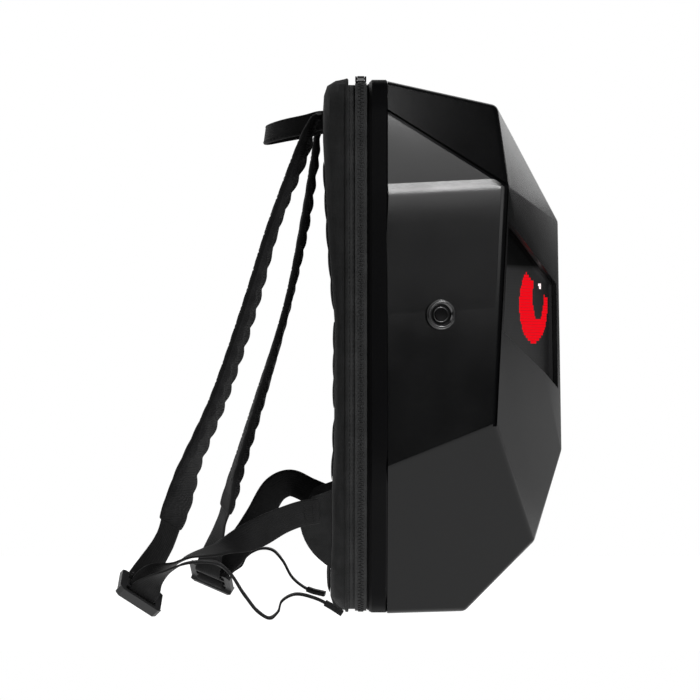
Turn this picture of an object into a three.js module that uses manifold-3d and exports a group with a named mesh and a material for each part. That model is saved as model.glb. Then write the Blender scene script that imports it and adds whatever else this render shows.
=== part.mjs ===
// Hard-shell backpack with two lit eye windows, standing on its base.
// Millimetres, +Z up. +X points out of the shell's face, -Y is the wearer's left.
// The origin is the middle of the shell's flat base.
import * as THREE from 'three';
import { ConvexGeometry } from 'three/addons/geometries/ConvexGeometry.js';
import { mergeVertices } from 'three/addons/utils/BufferGeometryUtils.js';
import Module from 'manifold-3d';

const wasm = await Module();
wasm.setup();

// Driving dimensions
const GAP = 0.3;
const PARTING_X = -34;
const RIM_DEPTH = 16;
const GUSSET_DEPTH = 19;
const HEIGHT = 459;
const HALF_WIDTH = 158;
const SHELL_WALL = 3.4;
const CORNER_RADIUS = 8;
const RIB_OVERSHOOT = 20;
const GROOVE_WIDTH = 4.4;
const GROOVE_DEPTH = 2.8;
const FABRIC_WALL = 2.5;
const WEBBING_WIDTH = 25;
const WEBBING_THICK = 1.8;
const STRAP_WIDTH = 62;
const STRAP_THICK = 11.5;
const LEFT = -1;
const RIGHT = 1;

const RIM_BACK_X = PARTING_X - RIM_DEPTH;
const GUSSET_BACK_X = RIM_BACK_X - GUSSET_DEPTH;

// Edges that run from the rim to the front of the shell, on one half.
// rimY and rimZ are at the parting plane, x, y and z at the front end.
const SHELL_RIBS = [
  { name: 'top', rimY: 135, rimZ: 459, x: 60, y: 95, z: 440.5 },
  { name: 'shoulder', rimY: 150, rimZ: 432, x: 69, y: 130, z: 369 },
  { name: 'crease', rimY: 158, rimZ: 363, x: 69, y: 130, z: 369 },
  { name: 'cheek', rimY: 158, rimZ: 129, x: 58.6, y: 133, z: 165.5 },
  { name: 'base', rimY: 79, rimZ: 0, x: 34, y: 45, z: 0 },
];
// Corners of the face that lie on no such edge
const FACE_CORNERS = [
  { name: 'brow', x: 118, y: 0, z: 342 },
  { name: 'nose', x: 121.5, y: 0, z: 142 },
  { name: 'chin', x: 94.5, y: 51, z: 61.5 },
];
const EYE_WINDOW = [
  { y: 125, z: 338.5 },
  { y: 8, z: 287 },
  { y: 8, z: 195 },
  { y: 126, z: 244 },
];

// Solids and meshes
function solid(geometry) {
  const bare = geometry.index ? geometry.toNonIndexed() : geometry.clone();
  bare.deleteAttribute('normal');
  bare.deleteAttribute('uv');
  const merged = mergeVertices(bare, 1e-4);
  const vertProperties = new Float32Array(merged.attributes.position.array);
  const triVerts = new Uint32Array(merged.index.array);
  return new wasm.Manifold(new wasm.Mesh({ numProp: 3, vertProperties, triVerts }));
}

function surface(body) {
  const mesh = body.getMesh();
  const geometry = new THREE.BufferGeometry();
  geometry.setAttribute('position', new THREE.BufferAttribute(new Float32Array(mesh.vertProperties), 3));
  geometry.setIndex(new THREE.BufferAttribute(new Uint32Array(mesh.triVerts), 1));
  geometry.computeVertexNormals();
  return geometry;
}

function boxBetween(low, high) {
  const size = high.map((value, axis) => value - low[axis]);
  const box = new THREE.BoxGeometry(...size);
  box.translate(...low.map((value, axis) => value + size[axis] / 2));
  return box;
}

// Skin over a row of rings with equal point counts, capped, or closed on itself
function loft(rings, closed = false) {
  const count = rings[0].length;
  const points = rings.flat();
  const index = [];
  const spans = closed ? rings.length : rings.length - 1;
  for (let ring = 0; ring < spans; ring++) {
    const near = ring * count;
    const far = ((ring + 1) % rings.length) * count;
    for (let at = 0; at < count; at++) {
      const next = (at + 1) % count;
      // Both faces of a thin strap split along the same diagonal
      const corners = at < count / 2
        ? [near + at, near + next, far + next, near + at, far + next, far + at]
        : [near + at, near + next, far + at, near + next, far + next, far + at];
      index.push(...corners);
    }
  }
  if (!closed) {
    for (const [ring, turn] of [[0, 1], [rings.length - 1, 0]]) {
      const centre = rings[ring].reduce((sum, p) => sum.add(p), new THREE.Vector3());
      points.push(centre.divideScalar(count));
      for (let at = 0; at < count; at++) {
        const next = (at + 1) % count;
        const pair = turn ? [next, at] : [at, next];
        index.push(points.length - 1, ...pair.map((corner) => ring * count + corner));
      }
    }
  }
  return facedOut(points, index);
}

function facedOut(points, index) {
  let volume = 0;
  for (let at = 0; at < index.length; at += 3) {
    const [a, b, c] = [points[index[at]], points[index[at + 1]], points[index[at + 2]]];
    volume += a.dot(new THREE.Vector3().crossVectors(b, c));
  }
  const geometry = new THREE.BufferGeometry().setFromPoints(points);
  geometry.setIndex(volume > 0 ? index : index.reverse());
  geometry.computeVertexNormals();
  return geometry;
}

// Convex forms with rounded edges
function sharpCorners() {
  const corners = [];
  for (const side of [LEFT, RIGHT]) {
    for (const rib of SHELL_RIBS) {
      const front = new THREE.Vector3(rib.x, side * rib.y, rib.z);
      const rim = new THREE.Vector3(PARTING_X, side * rib.rimY, rib.rimZ);
      const reach = 1 + RIB_OVERSHOOT / (rib.x - PARTING_X);
      corners.push(front.clone().lerp(rim, reach), front);
    }
    for (const corner of FACE_CORNERS) {
      corners.push(new THREE.Vector3(corner.x, side * corner.y, corner.z));
    }
  }
  return corners;
}

// Moves each corner inwards until its facets have all moved in by the depth
function insetCorners(corners, depth) {
  const hull = new ConvexGeometry(corners).attributes.position;
  const facets = [];
  for (let at = 0; at < hull.count; at += 3) {
    const face = [0, 1, 2].map((step) => new THREE.Vector3().fromBufferAttribute(hull, at + step));
    facets.push({ face, plane: new THREE.Plane().setFromCoplanarPoints(...face) });
  }
  return corners.map((corner) => {
    const moved = corner.clone();
    for (let round = 0; round < 400; round++) {
      for (const { face, plane } of facets) {
        if (!face.some((point) => point.distanceTo(corner) < 0.01)) continue;
        moved.addScaledVector(plane.normal, -0.5 * (plane.distanceToPoint(moved) + depth));
      }
    }
    return moved;
  });
}

function roundedHull(centres, radius, detail) {
  const ball = mergeVertices(new THREE.IcosahedronGeometry(radius, detail).deleteAttribute('normal')
    .deleteAttribute('uv')).attributes.position;
  const points = [];
  for (const centre of centres) {
    for (let at = 0; at < ball.count; at++) {
      points.push(new THREE.Vector3().fromBufferAttribute(ball, at).add(centre));
    }
  }
  return new ConvexGeometry(points);
}

const shellCentres = insetCorners(sharpCorners(), CORNER_RADIUS);
const behindParting = solid(boxBetween([-200, -300, -100], [PARTING_X, 300, 600]));

function shellForm(inset, detail) {
  return solid(roundedHull(shellCentres, CORNER_RADIUS - inset, detail)).subtract(behindParting);
}

// Bar along an edge of the shell, from which the groove is cut
function edgeBar(from, to, outward) {
  const along = to.clone().sub(from);
  const bar = new THREE.BoxGeometry(along.length() + GROOVE_WIDTH, GROOVE_WIDTH, 2 * GROOVE_DEPTH);
  const xAxis = along.clone().normalize();
  const yAxis = new THREE.Vector3().crossVectors(outward, xAxis).normalize();
  const zAxis = new THREE.Vector3().crossVectors(xAxis, yAxis);
  bar.applyMatrix4(new THREE.Matrix4().makeBasis(xAxis, yAxis, zAxis));
  const middle = from.clone().add(to).multiplyScalar(0.5);
  bar.translate(middle.x, middle.y, middle.z);
  return solid(bar);
}

function windowPrism(side, grow, fromX, toX) {
  const middleY = EYE_WINDOW.reduce((sum, p) => sum + p.y, 0) / EYE_WINDOW.length;
  const middleZ = EYE_WINDOW.reduce((sum, p) => sum + p.z, 0) / EYE_WINDOW.length;
  const ring = (x) => EYE_WINDOW.map((p) => new THREE.Vector3(
    x,
    side * (p.y + Math.sign(p.y - middleY) * grow),
    p.z + Math.sign(p.z - middleZ) * grow,
  ));
  return solid(loft([ring(fromX), ring(toX)]));
}

function makeShell() {
  let body = shellForm(0, 3).subtract(shellForm(SHELL_WALL, 1));
  const rib = (name) => SHELL_RIBS.find((row) => row.name === name);
  for (const side of [LEFT, RIGHT]) {
    const start = new THREE.Vector3(PARTING_X, side * rib('shoulder').rimY, rib('shoulder').rimZ);
    const corner = new THREE.Vector3(rib('shoulder').x, side * rib('shoulder').y, rib('shoulder').z);
    const end = new THREE.Vector3(rib('cheek').x, side * rib('cheek').y, rib('cheek').z);
    body = body.subtract(edgeBar(start, corner, new THREE.Vector3(0.35, side * 0.88, 0.3)));
    body = body.subtract(edgeBar(corner, end, new THREE.Vector3(0.6, side * 0.75, 0)));
    body = body.subtract(windowPrism(side, 0, 30, 140));
  }
  return surface(body);
}

// Tray behind each eye window: its collar follows the shell, its screen lies deeper
const SCREEN_TURN = 0.39;
const SCREEN_DISTANCE = 104;
const TRAY_MARGIN = 5;
const TRAY_DEPTH = 9;
function makeScreenTray(side) {
  const facing = (distance, depth) => {
    const slab = boxBetween([distance - depth, -400, -100], [distance, 400, 600]);
    slab.rotateZ(side * SCREEN_TURN);
    return solid(slab);
  };
  const inside = shellForm(SHELL_WALL + 2 * GAP, 1);
  const block = windowPrism(side, TRAY_MARGIN, 20, 140).intersect(inside);
  const well = windowPrism(side, 0, 20, 140).intersect(facing(SCREEN_DISTANCE + 60, 60));
  return surface(block.intersect(facing(SCREEN_DISTANCE + 60, 60 + TRAY_DEPTH)).subtract(well));
}

// Outline of the rim, shared by the rim, gusset and back
const FILLETS = { top: 20, shoulder: 30, crease: 60, cheek: 70, base: 40 };
const FILLET_STEPS = 3;
function outlinePoints() {
  const half = SHELL_RIBS.map((rib) => ({ y: rib.rimY, z: rib.rimZ, radius: FILLETS[rib.name] }));
  const corners = [...half, ...half.map((p) => ({ ...p, y: -p.y })).reverse()];
  const points = [];
  corners.forEach((corner, at) => {
    const here = new THREE.Vector2(corner.y, corner.z);
    const ends = [at - 1, at + 1].map((other) => {
      const near = corners[(other + corners.length) % corners.length];
      return new THREE.Vector2(near.y, near.z).sub(here);
    });
    const turn = Math.PI - Math.abs(ends[0].angleTo(ends[1]));
    const wanted = corner.radius * Math.tan(turn / 2);
    const reach = Math.min(wanted, 0.45 * ends[0].length(), 0.45 * ends[1].length());
    const [before, after] = ends.map((end) => here.clone().addScaledVector(end.normalize(), reach));
    const bend = new THREE.QuadraticBezierCurve(before, here, after);
    points.push(...bend.getPoints(FILLET_STEPS));
  });
  return points;
}

const OUTLINE = outlinePoints();
function outlineRing(x, grow) {
  const middle = HEIGHT / 2;
  return OUTLINE.map((p) => {
    const y = p.x * (1 + grow / HALF_WIDTH);
    const z = middle + (p.y - middle) * (1 + grow / middle);
    return new THREE.Vector3(x, y, Math.max(z, 0));
  });
}

// Closed section carried round the outline: x and how far it stands out from the outline
function outlineBand(section) {
  return loft(section.map(({ x, grow }) => outlineRing(x, grow)), true);
}

const RIM_PROUD = 1.5;
const RIM_WALL = 5;
const RIM_ROUND = 2.5;
function makeRimBand() {
  const [front, back] = [PARTING_X - GAP, RIM_BACK_X];
  return outlineBand([
    { x: front, grow: RIM_PROUD - RIM_WALL },
    { x: front, grow: RIM_PROUD - RIM_ROUND / 2 },
    { x: front - RIM_ROUND / 2, grow: RIM_PROUD },
    { x: back + RIM_ROUND, grow: RIM_PROUD },
    { x: back, grow: RIM_PROUD - RIM_ROUND },
    { x: back, grow: RIM_PROUD - RIM_WALL },
  ]);
}

const GUSSET_INSET = -2.8;
function makeGusset() {
  const [front, back] = [RIM_BACK_X - GAP, GUSSET_BACK_X];
  return outlineBand([
    { x: front, grow: GUSSET_INSET - FABRIC_WALL },
    { x: front, grow: GUSSET_INSET },
    { x: back, grow: GUSSET_INSET },
    { x: back, grow: GUSSET_INSET - FABRIC_WALL },
  ]);
}

const ZIP_X = -57;
const ZIP_WIDTH = 10;
const ZIP_THICK = 1.2;
const ZIP_BASE = GUSSET_INSET + GAP;
function makeZipperTape() {
  const [front, back] = [ZIP_X + ZIP_WIDTH / 2, ZIP_X - ZIP_WIDTH / 2];
  return outlineBand([
    { x: front, grow: ZIP_BASE },
    { x: front, grow: ZIP_BASE + ZIP_THICK },
    { x: back, grow: ZIP_BASE + ZIP_THICK },
    { x: back, grow: ZIP_BASE },
  ]);
}

// Soft back, a shallow tray that opens towards the shell and swells behind the shoulders
const BACK_PROFILE = [
  { z: 1.6, x: -70 },
  { z: 2.6, x: -76 },
  { z: 6, x: -81 },
  { z: 14, x: -83.5 },
  { z: 34, x: -83.5 },
  { z: 60, x: -82 },
  { z: 108, x: -82 },
  { z: 144, x: -80 },
  { z: 252, x: -79.5 },
  { z: 288, x: -82 },
  { z: 324, x: -85 },
  { z: 372, x: -87.5 },
  { z: 408, x: -89.5 },
  { z: 432, x: -89.5 },
  { z: 444, x: -88.8 },
  { z: 452, x: -86 },
  { z: 456, x: -79.5 },
  { z: 457.4, x: -71 },
];
// Rounding of its sides: share of the depth, and how far in from the outline
const BACK_ROUNDING = [
  { share: 0, grow: -1.6 },
  { share: 0.37, grow: -2.6 },
  { share: 0.72, grow: -6 },
  { share: 0.92, grow: -12 },
  { share: 1, grow: -22 },
];
const BACK_FRONT_X = GUSSET_BACK_X - GAP;
const BACK_WALL = 4;
const BACK_STEP = 12;

function between(rows, from, to, value) {
  const next = Math.max(1, rows.findIndex((row) => row[from] >= value));
  const [a, b] = [rows[next - 1], rows[next]];
  return a[to] + (b[to] - a[to]) * (value - a[from]) / (b[from] - a[from]);
}
const OUTLINE_SIDE = OUTLINE.filter((p) => p.x > 0)
  .map((p) => ({ y: p.x, z: p.y }))
  .sort((a, b) => a.z - b.z);
function halfWidth(z, grow) {
  const middle = HEIGHT / 2;
  const bare = middle + (z - middle) / (1 + grow / middle);
  const inside = Math.min(Math.max(bare, OUTLINE_SIDE[0].z), OUTLINE_SIDE.at(-1).z);
  return between(OUTLINE_SIDE, 'z', 'y', inside) * (1 + grow / HALF_WIDTH);
}
function backFace(z) {
  return between(BACK_PROFILE, 'z', 'x', z);
}
// Heights of the cross-sections between two heights, the profile's own among them
function backHeights(low, high) {
  const heights = new Set([low, high]);
  for (const row of BACK_PROFILE) heights.add(row.z);
  for (let z = BACK_STEP; z < HEIGHT; z += BACK_STEP) heights.add(z);
  return [...heights].filter((z) => z >= low && z <= high).sort((a, b) => a - b);
}
function backForm(wall, low, high) {
  return solid(loft(backHeights(low, high).map((z) => {
    const depth = Math.min(backFace(z) + wall, BACK_FRONT_X - 0.2) - BACK_FRONT_X;
    const half = BACK_ROUNDING.map(({ share, grow }) => {
      return { x: BACK_FRONT_X + share * depth, y: halfWidth(z, grow) - 0.6 * wall };
    });
    if (wall > 0) half.unshift({ x: BACK_FRONT_X + wall, y: half[0].y });
    const ring = [...half, ...half.map((p) => ({ x: p.x, y: -p.y })).reverse()];
    return ring.map((p) => new THREE.Vector3(p.x, p.y, z));
  })));
}
function makeBackPanel() {
  const [low, high] = [BACK_PROFILE[0].z, BACK_PROFILE.at(-1).z];
  return surface(backForm(0, low, high).subtract(backForm(BACK_WALL, low + BACK_WALL, high - BACK_WALL)));
}

// Back pads, which follow the back: top, foot and thickness
const BACK_PADS = [
  { name: 'upper', top: 392, foot: 264, thick: 3.2 },
  { name: 'middle', top: 254, foot: 178, thick: 2.8 },
  { name: 'lumbar', top: 168, foot: 116, thick: 3.2 },
];
const PAD_INNER_Y = 9;
const PAD_OUTER_Y = 112;
const BASE_PAD = { top: 52, foot: 16, thick: 3, half: 52 };
// Rounding of a pad's border: distance in from its edge, and share of its height there
const PAD_ROUNDING = [
  { inset: 0, share: 0.12 },
  { inset: 1.2, share: 0.6 },
  { inset: 4, share: 0.9 },
  { inset: 10, share: 1 },
];
const PAD_CORNER = 10;
function makePad(row, innerY, outerY) {
  const heights = new Set(backHeights(row.foot, row.top));
  for (const { inset } of PAD_ROUNDING) {
    heights.add(row.foot + inset);
    heights.add(row.top - inset);
  }
  const sorted = [...heights].sort((a, b) => a - b);
  return loft(sorted.map((z) => {
    const toEnd = Math.min(z - row.foot, row.top - z);
    const rounding = [...PAD_ROUNDING, { inset: HEIGHT, share: 1 }];
    const full = row.thick * between(rounding, 'inset', 'share', toEnd);
    const corner = Math.max(PAD_CORNER - toEnd, 0);
    const pull = PAD_CORNER - Math.sqrt(PAD_CORNER ** 2 - corner ** 2);
    const start = backFace(z) - GAP;
    const half = [{ inset: 0, share: 0 }, ...PAD_ROUNDING];
    const section = [
      ...half.map((p) => [innerY + pull + p.inset, p.share]),
      ...half.map((p) => [outerY - pull - p.inset, p.share]).reverse(),
    ];
    return section.map(([y, share]) => new THREE.Vector3(start - share * full, y, z));
  }));
}

function middleLine(rows) {
  const points = rows.map((row) => new THREE.Vector3(...row.at));
  return new THREE.CatmullRomCurve3(points, false, 'centripetal');
}

// Flat straps: a row for each place along the middle line.
// across is the direction of the strap's width there.
function ribbon(rows, steps, section) {
  const middle = middleLine(rows);
  const across = new THREE.CatmullRomCurve3(rows.map((row) => new THREE.Vector3(...row.across)));
  const size = new THREE.CatmullRomCurve3(rows.map((row) => new THREE.Vector3(row.width, row.thick, 0)));
  const rings = [];
  for (let step = 0; step <= steps; step++) {
    const t = step / steps;
    const ahead = middle.getTangent(t);
    const side = across.getPoint(t);
    side.addScaledVector(ahead, -side.dot(ahead)).normalize();
    const face = new THREE.Vector3().crossVectors(ahead, side);
    const { x: width, y: thick } = size.getPoint(t);
    const at = middle.getPoint(t);
    rings.push(section.map(([u, v]) => at.clone()
      .addScaledVector(side, u * width / 2)
      .addScaledVector(face, v * thick / 2)));
  }
  return loft(rings);
}
const FLAT_SECTION = [[-1, -1], [1, -1], [1, 1], [-1, 1]];
const PADDED_SECTION = [
  [-1, -0.35], [-0.86, -0.9], [-0.4, -1], [0.4, -1], [0.86, -0.9], [1, -0.35],
  [1, 0.35], [0.86, 0.9], [0.4, 1], [-0.4, 1], [-0.86, 0.9], [-1, 0.35],
];

// Shoulder straps lean away from the back and splay out to their buckles
const STRAP_PATHS = {
  left: [
    { at: [-95.2, -72, 431], across: [0, 1, 0.1], wide: 0.9, full: 0.65 },
    { at: [-107, -76, 402], across: [0.087, 1, 0.05], wide: 1, full: 0.95 },
    { at: [-131, -88, 340], across: [0, 1, 0], wide: 1, full: 1 },
    { at: [-151, -108, 270], across: [0.065, 1, 0], wide: 1, full: 1 },
    { at: [-178, -135, 188], across: [0.09, 1, 0], wide: 1, full: 1 },
    { at: [-201, -150, 133], across: [0.16, 1, 0], wide: 0.95, full: 1 },
    { at: [-211, -157, 103], across: [0.42, 1, -0.05], wide: 0.72, full: 0.75 },
    { at: [-219, -163.5, 80], across: [0.7, 0.8, -0.2], wide: 0.46, full: 0.4 },
  ],
  right: [
    { at: [-92.9, 72, 430], across: [0, 1, -0.1], wide: 0.9, full: 0.45 },
    { at: [-98, 74, 398], across: [0, 1, 0], wide: 1, full: 0.75 },
    { at: [-106, 78, 348], across: [-0.02, 1, 0], wide: 1, full: 0.85 },
    { at: [-122, 90, 272], across: [0, 1, 0], wide: 1, full: 0.66 },
    { at: [-148, 115, 185], across: [-0.04, 1, 0], wide: 1, full: 0.9 },
    { at: [-169, 130, 118], across: [-0.09, 1, 0], wide: 0.95, full: 0.95 },
    { at: [-174.5, 134, 100], across: [-0.2, 1, 0.05], wide: 0.72, full: 0.75 },
    { at: [-180.4, 138.4, 82], across: [-0.35, 0.9, 0.2], wide: 0.46, full: 0.4 },
  ],
};
function makeShoulderStrap(name) {
  const rows = STRAP_PATHS[name].map((row) => ({
    ...row, width: STRAP_WIDTH * row.wide, thick: STRAP_THICK * row.full,
  }));
  return ribbon(rows, 22, PADDED_SECTION);
}

// Ladder-lock buckles: centre, direction of the width and direction of the free end
const BUCKLES = {
  left: { at: [-243, -195, 25], across: [0.74, 0.3, -0.5], down: [-0.15, -0.8, -0.5] },
  right: { at: [-193.5, 160, 20.5], across: [-0.85, 0.3, 0.35], down: [-0.15, 0.85, -0.4] },
};
const BUCKLE_WIDTH = 42;
const BUCKLE_LENGTH = 28;
const BUCKLE_THICK = 4.5;
const BUCKLE_WAIST = 0.84;
const SLOT_WIDTH = 30;
const SLOT_LENGTH = 5.2;
const SLOTS = { tab: -8.2, load: -0.6, tail: 7 };
const LIP = { root: 4.2, thick: 3, above: 1.5, below: 2.6 };
function buckleFrame(name) {
  const row = BUCKLES[name];
  const across = new THREE.Vector3(...row.across).normalize();
  const down = new THREE.Vector3(...row.down);
  down.addScaledVector(across, -down.dot(across)).normalize();
  const face = new THREE.Vector3().crossVectors(down, across);
  const matrix = new THREE.Matrix4().makeBasis(down, across, face);
  return matrix.setPosition(new THREE.Vector3(...row.at));
}
function onBuckle(name, down, face) {
  return new THREE.Vector3(down, 0, face).applyMatrix4(buckleFrame(name)).toArray();
}
function makeBuckle(name) {
  const [l, w, t] = [BUCKLE_LENGTH / 2, BUCKLE_WIDTH / 2, BUCKLE_THICK / 2];
  const ring = (down, wide, low, high) => [
    new THREE.Vector3(down, -wide, low),
    new THREE.Vector3(down, wide, low),
    new THREE.Vector3(down, wide, high),
    new THREE.Vector3(down, -wide, high),
  ];
  let body = solid(loft([
    ring(-l, w * BUCKLE_WAIST, -t, t * 0.6),
    ring(-l + 3, w, -t, t),
    ring(l - LIP.root, w, -t, t),
    ring(l - LIP.thick, w, -t - LIP.below, t + LIP.above),
    ring(l, w * BUCKLE_WAIST, -t - LIP.below, t + LIP.above),
  ]));
  for (const centre of Object.values(SLOTS)) {
    const low = [centre - SLOT_LENGTH / 2, -SLOT_WIDTH / 2, -20];
    const high = [centre + SLOT_LENGTH / 2, SLOT_WIDTH / 2, 20];
    body = body.subtract(solid(boxBetween(low, high)));
  }
  const geometry = surface(body);
  geometry.applyMatrix4(buckleFrame(name));
  return geometry;
}

// Webbing rows share one width and thickness
function webbingRows(points) {
  return points.map(([at, across]) => ({ at, across, width: WEBBING_WIDTH, thick: WEBBING_THICK }));
}
// Fold of the strap tab round the top bar: on one face, through the slot, back on the other
const FOLD_CLEAR = BUCKLE_THICK / 2 + WEBBING_THICK / 2 + 0.9;
const TOP_BAR = -BUCKLE_LENGTH / 2;
function foldRoundTopBar(name) {
  const across = BUCKLES[name].across;
  const slot = SLOTS.tab;
  const near = 0.6 * slot + 0.4 * TOP_BAR;
  return [
    [onBuckle(name, TOP_BAR - 2, -FOLD_CLEAR - 0.8), across],
    [onBuckle(name, near, -FOLD_CLEAR), across],
    [onBuckle(name, slot, 0), across],
    [onBuckle(name, near, FOLD_CLEAR), across],
    [onBuckle(name, TOP_BAR + 1, FOLD_CLEAR + 0.2), across],
  ];
}
// Turn of the lower webbing down through one slot and up through the next, behind the lip
function turnRoundBar(name) {
  const across = BUCKLES[name].across;
  const { load, tail } = SLOTS;
  return [
    [onBuckle(name, load - 4, 8), across],
    [onBuckle(name, load, 2.5), across],
    [onBuckle(name, load + 0.2, -2), across],
    [onBuckle(name, (load + tail) / 2, -FOLD_CLEAR - 1.2), across],
    [onBuckle(name, tail - 0.2, -2), across],
    [onBuckle(name, tail, 2.5), across],
    [onBuckle(name, tail - 0.5, 9), across],
  ];
}

// The tab leaves the padded strap's end in line with it
const TAB_START = 0.5;
const TAB_STRAIGHT = 15;
function tabRows(name) {
  const rows = STRAP_PATHS[name];
  const middle = middleLine(rows);
  const ahead = middle.getTangent(1);
  return [TAB_START, TAB_STRAIGHT].map((reach) => {
    const at = middle.getPoint(1).addScaledVector(ahead, reach);
    return [at.toArray(), rows.at(-1).across];
  });
}
function makeStrapTab(name) {
  const rows = webbingRows([...tabRows(name), ...foldRoundTopBar(name)]);
  return ribbon(rows, 32, FLAT_SECTION);
}

// Lower webbing: from the wing to the buckle
const LOWER_PATHS = {
  left: [
    [[-93, -133, 91], [0.1, -0.5, 0.85]],
    [[-107, -134.5, 89], [0.15, -0.4, 0.9]],
    [[-122, -139, 84], [0.25, -0.2, 0.9]],
    [[-151, -152, 70], [0.25, 0.4, 0.75]],
    [[-176, -165, 60], [0.2, 0.8, 0.35]],
    [[-203, -180, 53], [0.2, 0.95, 0.1]],
    [[-216, -186, 47], [0.25, 0.95, 0]],
    [[-227.5, -190, 41], [0.55, 0.75, -0.25]],
  ],
  right: [
    [[-90, 136, 95], [0, 0.5, 0.85]],
    [[-103, 138, 100], [-0.05, 0.42, 0.88]],
    [[-121, 141, 107], [-0.35, 0.3, 0.85]],
    [[-135, 147, 101], [-0.72, 0.2, 0.66]],
    [[-150, 153, 76], [-0.83, 0.1, 0.52]],
    [[-161, 152, 59], [-0.82, 0.1, 0.52]],
    [[-172, 153, 45], [-0.83, 0.2, 0.45]],
    [[-180, 155, 36], [-0.85, 0.3, 0.38]],
  ],
};
// Free tail of the webbing, from the buckle to its folded end
const TAIL_PATHS = {
  left: [
    [[-231, -207, 35], [0.5, 0.8, -0.3]],
    [[-219.6, -209, 43], [0.2, 1, -0.05]],
    [[-207, -210, 49], [0.05, 1, 0]],
    [[-192, -206, 51], [0, 1, 0]],
    [[-177.6, -197, 48.5], [0, 1, 0]],
    [[-167, -188, 39.5], [0, 1, 0]],
    [[-155.5, -180, 22], [0, 1, 0]],
    [[-144, -175, 7.5], [0, 1, 0]],
    [[-134.5, -172, 2.4], [0, 1, 0]],
    [[-127.5, -170, 7], [0, 1, 0]],
    [[-124, -169, 16], [0, 1, 0]],
    [[-113, -168, 21.8], [0, 1, 0]],
    [[-96, -168, 18.5], [0, 1, 0]],
    [[-83, -168, 12], [0, 1, 0]],
    [[-73, -168, 5.5], [0, 1, 0]],
  ],
  right: [
    [[-178, 173, 27], [-0.5, 0.8, 0.2]],
    [[-168, 174, 30], [-0.15, 1, 0]],
    [[-161, 173, 39], [0, 1, 0]],
    [[-149.3, 171, 45.4], [0, 1, 0]],
    [[-137.8, 169, 44.3], [0, 1, 0]],
    [[-128.6, 168, 35], [0, 1, 0]],
    [[-119.3, 168, 19], [0, 1, 0]],
    [[-105.5, 167, 8.5], [0, 1, 0]],
    [[-89.4, 166, 3.9], [0, 1, 0]],
  ],
};
const FOLD_THICK = 3.6;
const LOWER_STEPS = 116;
function makeLowerWebbing(name) {
  const rows = webbingRows([...LOWER_PATHS[name], ...turnRoundBar(name), ...TAIL_PATHS[name]]);
  rows.at(-1).thick = FOLD_THICK;
  return ribbon(rows, LOWER_STEPS, FLAT_SECTION);
}

// Wing tabs, sewn along the slanting lower edges of the back, one curved cut of cloth each
const WING = { rootX: -82.4, top: 109, shoulderX: -99, shoulderZ: 103, tipX: -110, tipZ: 84, foot: 40 };
const WING_THICK = 3;
const WING_INSET = -10;
const WING_CURVE_STEPS = 8;
function outlineSide(z, grow) {
  const [cheek, base] = ['cheek', 'base'].map((name) => SHELL_RIBS.find((row) => row.name === name));
  const middle = HEIGHT / 2;
  const height = middle + (z - middle) / (1 + grow / middle);
  const share = (height - base.rimZ) / (cheek.rimZ - base.rimZ);
  return (base.rimY + share * (cheek.rimY - base.rimY)) * (1 + grow / HALF_WIDTH);
}
function makeWing(side) {
  const w = WING;
  const shape = new THREE.Shape();
  shape.moveTo(w.rootX, w.foot);
  shape.lineTo(w.rootX, w.top);
  shape.lineTo(w.shoulderX, w.shoulderZ);
  shape.lineTo(w.tipX, w.tipZ);
  shape.quadraticCurveTo(w.tipX + 2, w.foot + 16, w.rootX, w.foot);
  const cut = shape.getPoints(WING_CURVE_STEPS).slice(0, -1);
  const face = (offset) => cut.map((p) => {
    return new THREE.Vector3(p.x, side * (outlineSide(p.y, WING_INSET) + offset), p.y);
  });
  return loft([face(-WING_THICK / 2), face(WING_THICK / 2)]);
}

// Grab handle: one band bent into a loop that droops a little
const HANDLE = { half: 36, rootX: -92.6, rootZ: 430, endX: -138, endZ: 419.5, height: 17, thick: 3.2 };
function makeHandle() {
  const h = HANDLE;
  const lean = [0.14, 0, 1];
  const row = (x, y, z) => ({ at: [x, y, z], across: lean, width: h.height, thick: h.thick });
  return ribbon([
    row(h.rootX, -h.half, h.rootZ),
    row(-104, -h.half + 1, 427),
    row(-124, -h.half + 7, 423),
    row(h.endX, -h.half * 0.4, h.endZ),
    row(h.endX, h.half * 0.4, h.endZ),
    row(-124, h.half - 7, 423),
    row(-104, h.half - 1, 427),
    row(h.rootX, h.half, h.rootZ),
  ], 26, FLAT_SECTION);
}

// Round stud on the wearer's left, square to the side facet
const STUD = { x: 11.3, z: 259, outer: 13.3, ring: 11, bowl: 8.5, cap: 6.4, proud: 3.2 };
const SIDE_CORNER = SHELL_RIBS.find((row) => row.name === 'crease');
const SIDE_TURN = Math.atan2(SIDE_CORNER.rimY - SIDE_CORNER.y, SIDE_CORNER.x - PARTING_X);
const STUD_SINK = HALF_WIDTH - (STUD.x - PARTING_X) * Math.tan(SIDE_TURN);
function placeStud(geometry) {
  geometry.rotateX(Math.PI);
  geometry.rotateZ(SIDE_TURN);
  geometry.translate(STUD.x, -STUD_SINK, STUD.z);
  return geometry;
}
function makeStudRing() {
  const s = STUD;
  const profile = [
    [s.bowl, GAP], [s.outer, GAP], [s.outer, 1.2], [s.ring + 0.6, s.proud],
    [s.ring - 0.8, s.proud], [s.bowl, 1.4], [s.bowl, GAP],
  ];
  return placeStud(new THREE.LatheGeometry(profile.map(([r, h]) => new THREE.Vector2(r, h)), 24));
}
function makeStudCap() {
  const s = STUD;
  const rim = s.bowl - GAP;
  const profile = [
    [0, GAP], [rim, GAP], [rim, 0.9], [s.cap, 0.9], [s.cap - 0.8, 2.2], [s.cap - 2.2, 1.8], [0, 1.4],
  ];
  return placeStud(new THREE.LatheGeometry(profile.map(([r, h]) => new THREE.Vector2(r, h)), 24));
}

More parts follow.
